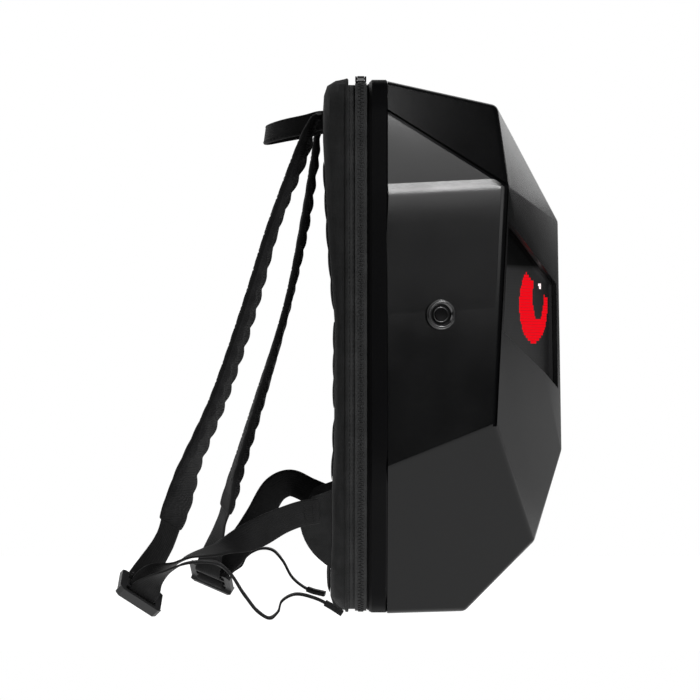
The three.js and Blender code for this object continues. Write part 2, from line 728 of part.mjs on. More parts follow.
// Zip sliders meet on the top of the bag near its left corner, each with a pull on a cross pin
const ZIP_MEET_Y = -90;
const SLIDER = { length: 11, width: 8.5, height: 3, gapY: 1, crown: 4 };
const ZIP_TOP = HEIGHT + (ZIP_BASE + ZIP_THICK);
const SLIDER_FOOT = ZIP_TOP + GAP;
const PIN_HEIGHT = SLIDER_FOOT + SLIDER.height + 2.4;
const PULL = { length: 20, width: 6, thick: 1.8, eye: 4.6, droop: 0.21 };
const SLIDER_MIDDLE = SLIDER.gapY + SLIDER.length / 2;
function makeSlider(side) {
  const s = SLIDER;
  const half = s.width / 2;
  const low = [ZIP_X - half, -s.length / 2, SLIDER_FOOT];
  const high = [ZIP_X + half, s.length / 2, SLIDER_FOOT + s.height];
  let body = solid(boxBetween(low, high));
  const post = (x) => solid(boxBetween(
    [x - 0.7, -1.8, SLIDER_FOOT + s.height - 0.5],
    [x + 0.7, 1.8, SLIDER_FOOT + s.height + s.crown],
  ));
  const reach = PULL.width / 2 + 1.1;
  body = body.add(post(ZIP_X - reach)).add(post(ZIP_X + reach));
  const pin = new THREE.CylinderGeometry(0.8, 0.8, 2 * reach, 8);
  pin.rotateZ(Math.PI / 2);
  pin.translate(ZIP_X, 0, PIN_HEIGHT);
  body = body.add(solid(pin));
  const geometry = surface(body);
  geometry.translate(0, ZIP_MEET_Y + side * SLIDER_MIDDLE, 0);
  return geometry;
}
function makePull(side) {
  const p = PULL;
  const shape = new THREE.Shape();
  shape.moveTo(-p.width / 2, -p.eye / 2);
  shape.lineTo(p.width / 2, -p.eye / 2);
  shape.lineTo(p.width / 2, p.length - p.width / 2);
  shape.absarc(0, p.length - p.width / 2, p.width / 2, 0, Math.PI);
  shape.closePath();
  const blade = new THREE.ExtrudeGeometry(shape, { depth: p.thick, bevelEnabled: false, curveSegments: 5 });
  blade.translate(0, 0, -p.thick / 2);
  const barrel = new THREE.CylinderGeometry(2, 2, p.width, 12);
  barrel.rotateZ(Math.PI / 2);
  const bore = new THREE.CylinderGeometry(1.15, 1.15, 2 * p.width, 12);
  bore.rotateZ(Math.PI / 2);
  const low = [-p.width, -p.eye, -p.thick];
  const high = [p.width, 0.5, p.thick];
  const body = solid(blade).subtract(solid(boxBetween(low, high))).add(solid(barrel)).subtract(solid(bore));
  const geometry = surface(body);
  geometry.rotateX(-PULL.droop);
  if (side === LEFT) geometry.rotateZ(Math.PI);
  geometry.translate(ZIP_X, ZIP_MEET_Y + side * SLIDER_MIDDLE, PIN_HEIGHT);
  return geometry;
}

// Finishes
const FINISH = {
  shell: { color: 0x2b2c2e, roughness: 0.42, metalness: 0 },
  trim: { color: 0x141416, roughness: 0.55, metalness: 0 },
  cloth: { color: 0x2a2b2b, roughness: 0.9, metalness: 0 },
  webbing: { color: 0x1b1b1d, roughness: 0.85, metalness: 0 },
  buckle: { color: 0x3a3b3c, roughness: 0.5, metalness: 0 },
  screen: { color: 0x0b0b0c, roughness: 0.15, metalness: 0 },
  zip: { color: 0x1a1a1c, roughness: 0.35, metalness: 0.8 },
};
const backpack = new THREE.Group();
function place(name, finish, geometry) {
  const mesh = new THREE.Mesh(geometry, new THREE.MeshStandardMaterial(FINISH[finish]));
  mesh.name = name;
  backpack.add(mesh);
}

place('shell', 'shell', makeShell());
place('rim_band', 'trim', makeRimBand());
place('zipper_gusset', 'cloth', makeGusset());
place('zipper_tape', 'webbing', makeZipperTape());
place('back_panel', 'cloth', makeBackPanel());
place('back_pad_base', 'cloth', makePad(BASE_PAD, -BASE_PAD.half, BASE_PAD.half));
place('grab_handle', 'webbing', makeHandle());
place('left_stud_ring', 'buckle', makeStudRing());
place('left_stud_cap', 'trim', makeStudCap());
for (const [name, side] of [['left', LEFT], ['right', RIGHT]]) {
  for (const row of BACK_PADS) {
    const ends = [side * PAD_INNER_Y, side * PAD_OUTER_Y].sort((a, b) => a - b);
    place(`back_pad_${row.name}_${name}`, 'cloth', makePad(row, ...ends));
  }
  place(`${name}_eye_screen`, 'screen', makeScreenTray(side));
  place(`${name}_shoulder_strap`, 'cloth', makeShoulderStrap(name));
  place(`${name}_strap_tab`, 'webbing', makeStrapTab(name));
  place(`${name}_buckle`, 'buckle', makeBuckle(name));
  place(`${name}_lower_webbing`, 'webbing', makeLowerWebbing(name));
  place(`${name}_wing`, 'cloth', makeWing(side));
  place(`${name}_zip_slider`, 'zip', makeSlider(side));
  place(`${name}_zip_pull`, 'zip', makePull(side));
}

export default backpack;
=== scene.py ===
import math
import bmesh
import bpy
import numpy as np
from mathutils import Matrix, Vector


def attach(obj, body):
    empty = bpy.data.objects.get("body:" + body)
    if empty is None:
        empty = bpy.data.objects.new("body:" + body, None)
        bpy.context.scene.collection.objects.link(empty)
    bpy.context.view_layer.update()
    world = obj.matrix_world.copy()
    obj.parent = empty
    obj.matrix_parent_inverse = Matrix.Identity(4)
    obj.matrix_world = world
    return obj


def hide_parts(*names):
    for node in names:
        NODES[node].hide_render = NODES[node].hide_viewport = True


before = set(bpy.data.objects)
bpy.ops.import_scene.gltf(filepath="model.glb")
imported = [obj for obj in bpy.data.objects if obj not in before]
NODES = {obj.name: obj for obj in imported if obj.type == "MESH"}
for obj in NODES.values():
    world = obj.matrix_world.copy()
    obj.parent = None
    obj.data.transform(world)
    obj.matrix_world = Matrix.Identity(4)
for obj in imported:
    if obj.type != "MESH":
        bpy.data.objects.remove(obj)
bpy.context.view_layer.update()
MM = 0.001
SIDES = {"left": -1, "right": 1}

# Sizes shared with the solids, in millimetres
HEIGHT = 459
HALF_WIDTH = 158
GUSSET_BACK_X = -69
RIM_BACK_X = -50
ZIP_X = -57
ZIP_FACE = -1.3
WEBBING_WIDTH = 25
WEBBING_THICK = 1.8
STRAP_WIDTH = 62
STRAP_THICK = 11.5


# Materials
# Range of a noise texture's values that is spread over the two ends of a mix
NOISE_LOW = 0.3
NOISE_HIGH = 0.7
PLASTIC_PATCHES = {"scale": 11, "detail": 5}
PLASTIC_ROUGHNESS = {"down": 0.05, "up": 0.07}
CLOTH_PATCHES = {"scale": 60, "detail": 6}
CLOTH_FUZZ = {"scale": 420, "detail": 4}
WEBBING_PATCHES = {"scale": 90, "detail": 5}
WEAVE_TURN = math.radians(45)
TWILL_TURN = math.radians(38)
RIBS_TO_TWILL = 0.6


def node_of(tree, kind, **inputs):
    node = tree.nodes.new(kind)
    for name, value in inputs.items():
        node.inputs[name].default_value = value
    return node


def new_material(name, color, roughness, **sockets):
    material = bpy.data.materials.new(name)
    material.use_nodes = True
    shader = material.node_tree.nodes["Principled BSDF"]
    shader.inputs["Base Color"].default_value = (*color, 1)
    shader.inputs["Roughness"].default_value = roughness
    for socket, value in sockets.items():
        shader.inputs[socket.replace("_", " ")].default_value = value
    return material


def coordinates(tree, kind, turn=0):
    source = tree.nodes.new("ShaderNodeTexCoord")
    mapping = node_of(tree, "ShaderNodeMapping", Rotation=(0, 0, turn))
    tree.links.new(source.outputs[kind], mapping.inputs["Vector"])
    return mapping.outputs["Vector"]


def noise(tree, vector, scale, detail):
    node = node_of(tree, "ShaderNodeTexNoise", Scale=scale, Detail=detail)
    tree.links.new(vector, node.inputs["Vector"])
    return node.outputs["Fac"]


def band_scale(pitch):
    """Scale at which a wave texture repeats once in each pitch."""
    return math.pi / (10 * pitch)


def bands(tree, vector, scale, direction):
    node = node_of(tree, "ShaderNodeTexWave", Scale=scale, Distortion=0)
    node.wave_type = "BANDS"
    node.bands_direction = direction
    node.wave_profile = "SIN"
    tree.links.new(vector, node.inputs["Vector"])
    return node.outputs["Fac"]


def blend_of(tree, operation, first, second):
    node = tree.nodes.new("ShaderNodeMath")
    node.operation = operation
    for socket, value in zip(node.inputs, (first, second)):
        if isinstance(value, (int, float)):
            socket.default_value = value
        else:
            tree.links.new(value, socket)
    return node.outputs[0]


def add_bump(material, height, distance):
    tree = material.node_tree
    shader = tree.nodes["Principled BSDF"]
    bump = node_of(tree, "ShaderNodeBump", Strength=1.0, Distance=distance)
    tree.links.new(height, bump.inputs["Height"])
    tree.links.new(bump.outputs["Normal"], shader.inputs["Normal"])


def vary(material, socket, fac, low, high):
    tree = material.node_tree
    ramp = tree.nodes.new("ShaderNodeMapRange")
    ends = {"From Min": NOISE_LOW, "From Max": NOISE_HIGH, "To Min": low, "To Max": high}
    for name, value in ends.items():
        ramp.inputs[name].default_value = value
    tree.links.new(fac, ramp.inputs["Value"])
    tree.links.new(ramp.outputs["Result"], tree.nodes["Principled BSDF"].inputs[socket])


def vary_color(material, fac, dark, light):
    tree = material.node_tree
    ramp = tree.nodes.new("ShaderNodeValToRGB")
    first, last = ramp.color_ramp.elements
    first.position, last.position = NOISE_LOW, NOISE_HIGH
    first.color, last.color = (*dark, 1), (*light, 1)
    tree.links.new(fac, ramp.inputs["Fac"])
    tree.links.new(ramp.outputs["Color"], tree.nodes["Principled BSDF"].inputs["Base Color"])


def plastic(name, color, roughness, gloss=0.5, grain=0.00004, grain_scale=900):
    material = new_material(name, color, roughness, Specular_IOR_Level=gloss)
    tree = material.node_tree
    vector = coordinates(tree, "Object")
    add_bump(material, noise(tree, vector, grain_scale, detail=2), grain)
    smoothest = roughness - PLASTIC_ROUGHNESS["down"]
    roughest = roughness + PLASTIC_ROUGHNESS["up"]
    vary(material, "Roughness", noise(tree, vector, **PLASTIC_PATCHES), smoothest, roughest)
    return material


def woven(name, dark, light, roughness, pitch, relief):
    material = new_material(name, light, roughness, Sheen_Weight=0.03, Sheen_Roughness=0.5,
                            Specular_IOR_Level=0.15)
    tree = material.node_tree
    turned = coordinates(tree, "Object", WEAVE_TURN)
    upright = coordinates(tree, "Object")
    threads = band_scale(pitch)
    weave = blend_of(tree, "MULTIPLY", bands(tree, turned, threads, "X"), bands(tree, upright, threads, "Z"))
    fuzz = noise(tree, upright, **CLOTH_FUZZ)
    add_bump(material, blend_of(tree, "ADD", weave, fuzz), relief)
    vary_color(material, noise(tree, upright, **CLOTH_PATCHES), dark, light)
    return material


def ribbed(name, dark, light, roughness, rib, relief):
    material = new_material(name, light, roughness, Sheen_Weight=0.03, Specular_IOR_Level=0.2)
    tree = material.node_tree
    along = coordinates(tree, "UV")
    threads = band_scale(rib)
    twill = bands(tree, coordinates(tree, "UV", TWILL_TURN), threads, "X")
    ribs = bands(tree, along, RIBS_TO_TWILL * threads, "Y")
    add_bump(material, blend_of(tree, "ADD", twill, ribs), relief)
    vary_color(material, noise(tree, along, **WEBBING_PATCHES), dark, light)
    return material


# Painted shade: the display is grey below this height in metres and black above it, standing in for the
# shade and dark reflection under the shell's brow
PAINTED_SHADE_FROM = 0.294
PAINTED_SHADE_SHARPNESS = 80
DISPLAY_GREY = (0.012, 0.012, 0.0125)
DISPLAY_PAINTED_SHADE = (0.001, 0.001, 0.001)
GREY_GLOSS = 0.25
PAINTED_SHADE_GLOSS = 0.02


def display(name, roughness):
    material = new_material(name, DISPLAY_GREY, roughness)
    tree = material.node_tree
    parts = tree.nodes.new("ShaderNodeSeparateXYZ")
    tree.links.new(coordinates(tree, "Object"), parts.inputs["Vector"])
    # Painted shade: colour and gloss step from grey to black above that height, in place of the brow's shade
    # on the screen
    above = blend_of(tree, "SUBTRACT", parts.outputs["Z"], PAINTED_SHADE_FROM)
    step = blend_of(tree, "MULTIPLY", above, PAINTED_SHADE_SHARPNESS)
    vary(material, "Specular IOR Level", step, GREY_GLOSS, PAINTED_SHADE_GLOSS)
    vary_color(material, step, DISPLAY_GREY, DISPLAY_PAINTED_SHADE)
    return material


SHELL = plastic("shell_plastic", (0.002, 0.0021, 0.0023), 0.2, 0.25)
RIM = plastic("rim_rubber", (0.0025, 0.0025, 0.0028), 0.5, 0.06, 0.00006, 700)
BUCKLE = plastic("buckle_plastic", (0.015, 0.015, 0.0155), 0.42, 0.4)
STUD = plastic("stud_plastic", (0.014, 0.014, 0.0145), 0.16, 1.0)
CLOTH = woven("body_cloth", (0.011, 0.0112, 0.0114), (0.021, 0.0214, 0.0216), 0.85, 0.0011, 0.0003)
GUSSET = woven("gusset_cloth", (0.026, 0.0264, 0.0266), (0.042, 0.0425, 0.0428), 0.85, 0.0011, 0.0003)
MESH = woven("pad_mesh", (0.008, 0.008, 0.0084), (0.016, 0.016, 0.0165), 0.9, 0.0022, 0.0006)
COVER = woven("strap_cloth", (0.004, 0.004, 0.0042), (0.008, 0.008, 0.0083), 0.85, 0.0011, 0.00007)
WEBBING = ribbed("webbing", (0.003, 0.003, 0.0032), (0.007, 0.007, 0.0073), 0.7, 0.0013, 0.00012)
THREAD = new_material("thread", (0.008, 0.008, 0.0085), 0.7, Specular_IOR_Level=0.2)
ZIP = new_material("zip_metal", (0.008, 0.008, 0.0085), 0.42, Metallic=0.3, Specular_IOR_Level=0.3)
TEETH = plastic("zip_teeth", (0.024, 0.0242, 0.0245), 0.5, 0.15, 0.00002, 1500)
# The screen and the unlit dots both carry the painted shade at the top of the display
SCREEN = display("screen", 0.3)
LED_DARK = display("led_dark", 0.4)
LED_RED = new_material("led_red", (0.2, 0.003, 0.006), 0.8, Specular_IOR_Level=0.0,
                       Emission_Color=(1, 0.003, 0.01, 1), Emission_Strength=0.75)
LED_WHITE = new_material("led_white", (0.8, 0.8, 0.8), 0.4, Emission_Color=(1, 0.75, 0.75, 1),
                         Emission_Strength=0.8)


# Pieces
def add_piece(name, mesh, material, slot, body="bag", smooth=True):
    piece = bpy.data.objects.new(name, mesh)
    bpy.context.scene.collection.objects.link(piece)
    mesh.materials.clear()
    mesh.materials.append(material)
    if smooth:
        mesh.polygons.foreach_set("use_smooth", [True] * len(mesh.polygons))
    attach(piece, body)
    return piece


def mesh_from(name, points, faces, uv=None):
    mesh = bpy.data.meshes.new(name)
    mesh.from_pydata([tuple(p) for p in points], [], faces)
    if uv is not None:
        layer = mesh.uv_layers.new(name="UVMap")
        for loop in mesh.loops:
            layer.data[loop.index].uv = uv[loop.vertex_index]
    mesh.validate()
    return mesh


WELD_DISTANCE = 1e-5
FLAT_ANGLE = math.radians(1)
SHARP_ANGLE = math.radians(35)


def welded(node_name):
    work = bmesh.new()
    work.from_mesh(NODES[node_name].data)
    bmesh.ops.remove_doubles(work, verts=work.verts, dist=WELD_DISTANCE)
    bmesh.ops.dissolve_limit(work, angle_limit=FLAT_ANGLE, verts=work.verts, edges=work.edges)
    mesh = bpy.data.meshes.new(node_name + "_dressed")
    work.to_mesh(mesh)
    work.free()
    return mesh


def sharp_by_angle(mesh):
    work = bmesh.new()
    work.from_mesh(mesh)
    for edge in work.edges:
        if len(edge.link_faces) == 2 and edge.calc_face_angle(0) > SHARP_ANGLE:
            edge.smooth = False
    work.to_mesh(mesh)
    work.free()


def dress_hard(node_name, material, slot, bevel=0, body="bag"):
    mesh = welded(node_name)
    piece = add_piece(node_name + "_dressed", mesh, material, slot, body)
    if bevel:
        rounding = piece.modifiers.new("rounding", "BEVEL")
        rounding.width = bevel
        rounding.segments = 2
        rounding.limit_method = "ANGLE"
        rounding.angle_limit = SHARP_ANGLE
    else:
        sharp_by_angle(mesh)
    normals = piece.modifiers.new("normals", "WEIGHTED_NORMAL")
    normals.keep_sharp = True
    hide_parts(node_name)
    return piece


# Ribbons
SAME_PLACE = 1e-4
SHORT_STEP = 1e-4
FINE_STEPS = 40


def unit(vector):
    vector = np.array(vector, float)
    return vector / np.linalg.norm(vector)


def run_of(places):
    """Distance of each place along the line through all of them."""
    return np.concatenate(([0], np.cumsum(np.linalg.norm(np.diff(places, axis=0), axis=1))))


def catmull(points, t):
    """Point at share t of a centripetal curve through the points, each stretch having an equal share."""
    last = len(points) - 1
    place = last * t
    at = min(int(math.floor(place)), last - 1)
    weight = place - at
    p1, p2 = points[at], points[at + 1]
    p0 = points[at - 1] if at > 0 else 2 * points[0] - points[1]
    p3 = points[at + 2] if at + 2 <= last else 2 * points[last] - points[last - 1]
    spans = [np.sum((b - a) ** 2) ** 0.25 for a, b in ((p0, p1), (p1, p2), (p2, p3))]
    d1 = spans[1] if spans[1] > SAME_PLACE else 1.0
    d0 = spans[0] if spans[0] > SAME_PLACE else d1
    d2 = spans[2] if spans[2] > SAME_PLACE else d1
    t1 = ((p1 - p0) / d0 - (p2 - p0) / (d0 + d1) + (p2 - p1) / d1) * d1
    t2 = ((p2 - p1) / d1 - (p3 - p1) / (d1 + d2) + (p3 - p2) / d2) * d1
    c2 = -3 * p1 + 3 * p2 - 2 * t1 - t2
    c3 = 2 * p1 - 2 * p2 + t1 + t2
    return p1 + weight * (t1 + weight * (c2 + weight * c3))


class Ribbon:
    """A strap or webbing, given as rows of place, direction of its width, width and thickness."""

    def __init__(self, rows):
        self.at = [np.array(row[0], float) for row in rows]
        self.across = [np.array(row[1], float) for row in rows]
        self.size = [np.array((row[2], row[3], 0), float) for row in rows]

    def frame(self, t):
        """Place at share t, directions of the width and of the face, width and thickness."""
        low, high = max(t - SHORT_STEP, 0), min(t + SHORT_STEP, 1)
        ahead = catmull(self.at, high) - catmull(self.at, low)
        ahead = ahead / np.linalg.norm(ahead)
        side = catmull(self.across, t)
        side = side - ahead * side.dot(ahead)
        side = side / np.linalg.norm(side)
        width, thick, _ = catmull(self.size, t)
        return catmull(self.at, t), side, np.cross(ahead, side), width, thick

    def even(self, steps):
        """Shares at even distances along the middle line, and the line's length."""
        fine = np.linspace(0, 1, FINE_STEPS * len(self.at))
        run = run_of(np.array([catmull(self.at, t) for t in fine]))
        return np.interp(np.linspace(0, run[-1], steps + 1), run, fine), run[-1]


def on_frame(here, u, v):
    """Place in a ribbon's frame, with u across the width and v through the thickness, each from -1 to 1."""
    at, side, face, width, thick = here
    return at + side * u * width / 2 + face * v * thick / 2


def tube_faces(rings, count, base=0, closed=False):
    """Faces between rings of count points, from point base on; a tube that isn't closed has two ends."""
    faces = []
    for ring in range(rings if closed else rings - 1):
        here = base + ring * count
        ahead = base + (ring + 1) % rings * count
        for k in range(count):
            n = (k + 1) % count
            faces.append((here + k, here + n, ahead + n, ahead + k))
    if not closed:
        end = base + (rings - 1) * count
        faces.append(tuple(base + k for k in range(count - 1, -1, -1)))
        faces.append(tuple(end + k for k in range(count)))
    return faces


def grid_faces(rows, wide):
    """Faces of a grid of points, given row by row."""
    faces = []
    for row in range(rows - 1):
        for column in range(wide - 1):
            a = row * wide + column
            faces.append((a, a + 1, a + wide + 1, a + wide))
    return faces


def turned(faces):
    """The same faces with the other side out."""
    return [(first, *rest[::-1]) for first, *rest in faces]


def ribbon_mesh(name, ribbon, steps, section):
    places, length = ribbon.even(steps)
    points, uv = [], []
    for step, t in enumerate(places):
        here = ribbon.frame(t)
        width = here[3]
        for u, v in section:
            points.append(on_frame(here, u, v) * MM)
            uv.append((length * step / steps * MM, u * width / 2 * MM))
    return mesh_from(name, points, tube_faces(steps + 1, len(section)), uv)


# Section of webbing: columns across it, and the shares at which its edges are rounded
WEBBING_COLUMNS = 6
EDGE_ACROSS = 0.93
EDGE_THROUGH = 0.45


def flat_section():
    top = [(-1 + 2 * k / WEBBING_COLUMNS, 1) for k in range(WEBBING_COLUMNS + 1)]
    top[0], top[-1] = (-EDGE_ACROSS, 1), (EDGE_ACROSS, 1)
    half = top + [(1, EDGE_THROUGH), (1, -EDGE_THROUGH)]
    return (half + [(-u, -v) for u, v in half])[::-1]


# Camera at the photograph's viewing angle
CAMERA_AT = (-0.0663, -4.0, 0.2288)
SENSOR_WIDTH = 36
IMAGE_PIXELS = 700
FOCAL_PIXELS = 4520
camera_data = bpy.data.cameras.new("camera")
camera = bpy.data.objects.new("camera", camera_data)
bpy.context.scene.collection.objects.link(camera)
camera.location = CAMERA_AT
camera.rotation_euler = (math.radians(90), 0, 0)
camera_data.sensor_width = SENSOR_WIDTH
camera_data.lens = SENSOR_WIDTH * FOCAL_PIXELS / IMAGE_PIXELS
bpy.context.scene.camera = camera

# Hard pieces: node, material, slot and width of the rounded edges in metres
HARD_PIECES = [
    ("shell", SHELL, "shell_plastic", 0),
    ("rim_band", RIM, "rim_rubber", 0),
    ("left_stud_ring", STUD, "buckle_plastic", 0.0004),
    ("left_stud_cap", RIM, "buckle_plastic", 0.0003),
    ("left_buckle", BUCKLE, "buckle_plastic", 0.0006),
    ("right_buckle", BUCKLE, "buckle_plastic", 0.0006),
    ("left_zip_slider", ZIP, "zip_metal", 0.0003),
    ("right_zip_slider", ZIP, "zip_metal", 0.0003),
    ("left_eye_screen", SCREEN, "screen", 0),
    ("right_eye_screen", SCREEN, "screen", 0),
]
PULL_EDGE = 0.00025
for row in HARD_PIECES:
    dress_hard(*row)
for name in SIDES:
    dress_hard(name + "_zip_pull", ZIP, "zip_metal", PULL_EDGE, name + "_pull")
dress_hard("zipper_gusset", GUSSET, "body_cloth")
for name in SIDES:
    dress_hard(name + "_wing", CLOTH, "body_cloth")
back_piece = dress_hard("back_panel", CLOTH, "body_cloth")

# Stuffed top of the back, a little higher than the gusset
LIFT_FROM = 405
LIFT_TO = 452
BACK_LIFT = 4.2
PIPING_LIFT = 2.8


def lift_top(mesh, amount):
    for vertex in mesh.vertices:
        share = min(1, max(0, (vertex.co.z / MM - LIFT_FROM) / (LIFT_TO - LIFT_FROM)))
        vertex.co.z += amount * share * share * (3 - 2 * share) * MM


lift_top(back_piece.data, BACK_LIFT)

# Soft ridge along the crease of each side, between the upper triangle and the side facet
CREASE_RIM = np.array((-33.6, 157.95, 363))
CREASE_CORNER = np.array((67.2, 130.69, 368.9))
CREASE_OUT = np.array((0.257, 0.965, 0.055))
FACET_OUT = np.array((0.261, 0.9653, 0))
# Cross-section of the ridge: distance above the crease, and height over the two facets
RIDGE_PROFILE = [
    (7, -0.08), (6, 0.02), (4.5, 0.17), (3, 0.33), (1.5, 0.49), (0, 0.6),
    (-1.5, 0.88), (-3, 1.08), (-5, 1.25), (-8, 1.36), (-12, 1.4), (-18, 1.34), (-28, 1.1), (-42, 0.71),
    (-60, 0.33), (-78, 0.1), (-92, 0.02), (-104, -0.004),
]
FACET_FALL = 0.056
# Run of the groove that ends the side facet, for each millimetre down
FACET_EDGE = np.array((-0.051, 0.0138, -1))
RIDGE_STEPS = 24
RIDGE_END = 0.955
RIDGE_EDGE = 0.003
# Above the crease the ridge narrows towards its end, down to this share
NARROWEST = 0.4
NARROWING = 12


def add_ridge(name, side):
    flip = np.array((1, side, 1))
    start, end, out = CREASE_RIM * flip, CREASE_CORNER * flip, CREASE_OUT * flip
    facet_out, facet_edge = FACET_OUT * flip, FACET_EDGE * flip
    up = unit(np.cross(out, end - start))
    up = up * math.copysign(1, up[2])
    shares = [RIDGE_END * step / RIDGE_STEPS for step in range(RIDGE_STEPS + 1)]
    shares += [RIDGE_END + RIDGE_EDGE, RIDGE_END + 2 * RIDGE_EDGE]
    points = []
    for share in shares:
        full = min(1, NARROWING * max(0, 1 - share / RIDGE_END) + NARROWEST)
        raised = 0 if share == shares[-1] else 1
        crease = start + share * (end - start)
        for above, height in RIDGE_PROFILE:
            if above > 0:
                reach = above * full
                place = crease + up * reach + out * (height * raised - FACET_FALL * reach)
            else:
                place = crease + facet_edge * abs(above) + facet_out * height * raised
            points.append(place * MM)
    faces = grid_faces(len(shares), len(RIDGE_PROFILE))
    mesh = mesh_from(name, points, faces if side < 0 else turned(faces))
    add_piece(name, mesh, SHELL, "shell_plastic")


for name, side in SIDES.items():
    add_ridge(name + "_crease_ridge", side)

# Strap routes: place, direction of the width, share of the width, share of the thickness
STRAP_ROUTES = {
    "left": [
        ((-95.2, -72, 431), (0, 1, 0.1), 0.9, 0.65),
        ((-107, -76, 402), (0.087, 1, 0.05), 1, 0.95),
        ((-131, -88, 340), (0, 1, 0), 1, 1),
        ((-151, -108, 270), (0.065, 1, 0), 1, 1),
        ((-178, -135, 188), (0.09, 1, 0), 1, 1),
        ((-201, -150, 133), (0.16, 1, 0), 0.95, 1),
        ((-211, -157, 103), (0.42, 1, -0.05), 0.72, 0.75),
        ((-219, -163.5, 80), (0.7, 0.8, -0.2), 0.46, 0.4),
    ],
    "right": [
        ((-92.9, 72, 430), (0, 1, -0.1), 0.9, 0.45),
        ((-98, 74, 398), (0, 1, 0), 1, 0.75),
        ((-106, 78, 348), (-0.02, 1, 0), 1, 0.85),
        ((-122, 90, 272), (0, 1, 0), 1, 0.66),
        ((-148, 115, 185), (-0.04, 1, 0), 1, 0.9),
        ((-169, 130, 118), (-0.09, 1, 0), 0.95, 0.95),
        ((-174.5, 134, 100), (-0.2, 1, 0.05), 0.72, 0.75),
        ((-180.4, 138.4, 82), (-0.35, 0.9, 0.2), 0.46, 0.4),
    ],
}
# Buckles: centre, direction of the width, direction of the free end
BUCKLES = {
    "left": ((-243, -195, 25), (0.74, 0.3, -0.5), (-0.15, -0.8, -0.5)),
    "right": ((-193.5, 160, 20.5), (-0.85, 0.3, 0.35), (-0.15, 0.85, -0.4)),
}
BUCKLE_LENGTH = 28
BUCKLE_THICK = 4.5
TAB_SLOT, LOAD_SLOT, TAIL_SLOT = -8.2, -0.6, 7
# Lower webbing: place and direction of the width, from the wing to the buckle
LOWER_ROUTES = {
    "left": [
        ((-93, -133, 91), (0.1, -0.5, 0.85)),
        ((-107, -134.5, 89), (0.15, -0.4, 0.9)),
        ((-122, -139, 84), (0.25, -0.2, 0.9)),
        ((-151, -152, 70), (0.25, 0.4, 0.75)),
        ((-176, -165, 60), (0.2, 0.8, 0.35)),
        ((-203, -180, 53), (0.2, 0.95, 0.1)),
        ((-216, -186, 47), (0.25, 0.95, 0)),
        ((-227.5, -190, 41), (0.55, 0.75, -0.25)),
    ],
    "right": [
        ((-90, 136, 95), (0, 0.5, 0.85)),
        ((-103, 138, 100), (-0.05, 0.42, 0.88)),
        ((-121, 141, 107), (-0.35, 0.3, 0.85)),
        ((-135, 147, 101), (-0.72, 0.2, 0.66)),
        ((-150, 153, 76), (-0.83, 0.1, 0.52)),
        ((-161, 152, 59), (-0.82, 0.1, 0.52)),
        ((-172, 153, 45), (-0.83, 0.2, 0.45)),
        ((-180, 155, 36), (-0.85, 0.3, 0.38)),
    ],
}
# Free tail of that webbing, from the buckle to its folded end
TAIL_ROUTES = {
    "left": [
        ((-231, -207, 35), (0.5, 0.8, -0.3)),
        ((-219.6, -209, 43), (0.2, 1, -0.05)),
        ((-207, -210, 49), (0.05, 1, 0)),
        ((-192, -206, 51), (0, 1, 0)),
        ((-177.6, -197, 48.5), (0, 1, 0)),
        ((-167, -188, 39.5), (0, 1, 0)),
        ((-155.5, -180, 22), (0, 1, 0)),
        ((-144, -175, 7.5), (0, 1, 0)),
        ((-134.5, -172, 2.4), (0, 1, 0)),
        ((-127.5, -170, 7), (0, 1, 0)),
        ((-124, -169, 16), (0, 1, 0)),
        ((-113, -168, 21.8), (0, 1, 0)),
        ((-96, -168, 18.5), (0, 1, 0)),
        ((-83, -168, 12), (0, 1, 0)),
        ((-73, -168, 5.5), (0, 1, 0)),
    ],
    "right": [
        ((-178, 173, 27), (-0.5, 0.8, 0.2)),
        ((-168, 174, 30), (-0.15, 1, 0)),
        ((-161, 173, 39), (0, 1, 0)),
        ((-149.3, 171, 45.4), (0, 1, 0)),
        ((-137.8, 169, 44.3), (0, 1, 0)),
        ((-128.6, 168, 35), (0, 1, 0)),
        ((-119.3, 168, 19), (0, 1, 0)),
        ((-105.5, 167, 8.5), (0, 1, 0)),
        ((-89.4, 166, 3.9), (0, 1, 0)),
    ],
}


def buckle_axes(name):
    centre, across, down = (np.array(part, float) for part in BUCKLES[name])
    across = unit(across)
    down = unit(down - across * down.dot(across))
    return centre, down, np.cross(down, across)


def on_buckle(name, down, face):
    centre, down_axis, face_axis = buckle_axes(name)
    return centre + down * down_axis + face * face_axis


def buckle_rows(name, places):
    """Rows of webbing at places on a buckle, each as millimetres down it and off its face."""
    return [(on_buckle(name, down, face), BUCKLES[name][1]) for down, face in places]


def webbing_rows(points):
    return [(at, across, WEBBING_WIDTH, WEBBING_THICK) for at, across in points]


FOLD_GAP = 0.9
FOLD_CLEAR = BUCKLE_THICK / 2 + WEBBING_THICK / 2 + FOLD_GAP
TOP_BAR = -BUCKLE_LENGTH / 2
FOLDED_END_THICK = 3.6
# Free end of the webbing, folded over and sewn: places back from the end, and its size
FOLD_RUN = (17, 11, 5, 0)
FOLD_WIDER = 0.5
FOLD_THICK = 4.4
FOLD_LOOKUP = 400
# The tab runs on a little inside the padding, and the strap's root inside the seam of the back
TAB_SEWN_IN = 6
TAB_STRAIGHT = 15
ROOT_SEWN_IN = 5
# Handle, from its sewn root to near its middle
HANDLE_ROUTE = [
    (-92.6 + ROOT_SEWN_IN, 36, 430),
    (-92.6, 36, 430),
    (-104, 35, 427),
    (-124, 29, 423),
    (-138, 14.4, 419.5),
]
HANDLE_ACROSS = (0.14, 0, 1)
HANDLE_WIDTH = 17
HANDLE_THICK = 3.2


def fold_round_top_bar(name):
    near = 0.6 * TAB_SLOT + 0.4 * TOP_BAR
    return buckle_rows(name, [
        (TOP_BAR - 2, -FOLD_CLEAR - 0.8),
        (near, -FOLD_CLEAR),
        (TAB_SLOT, 0),
        (near, FOLD_CLEAR),
        (TOP_BAR + 1, FOLD_CLEAR + 0.2),
    ])


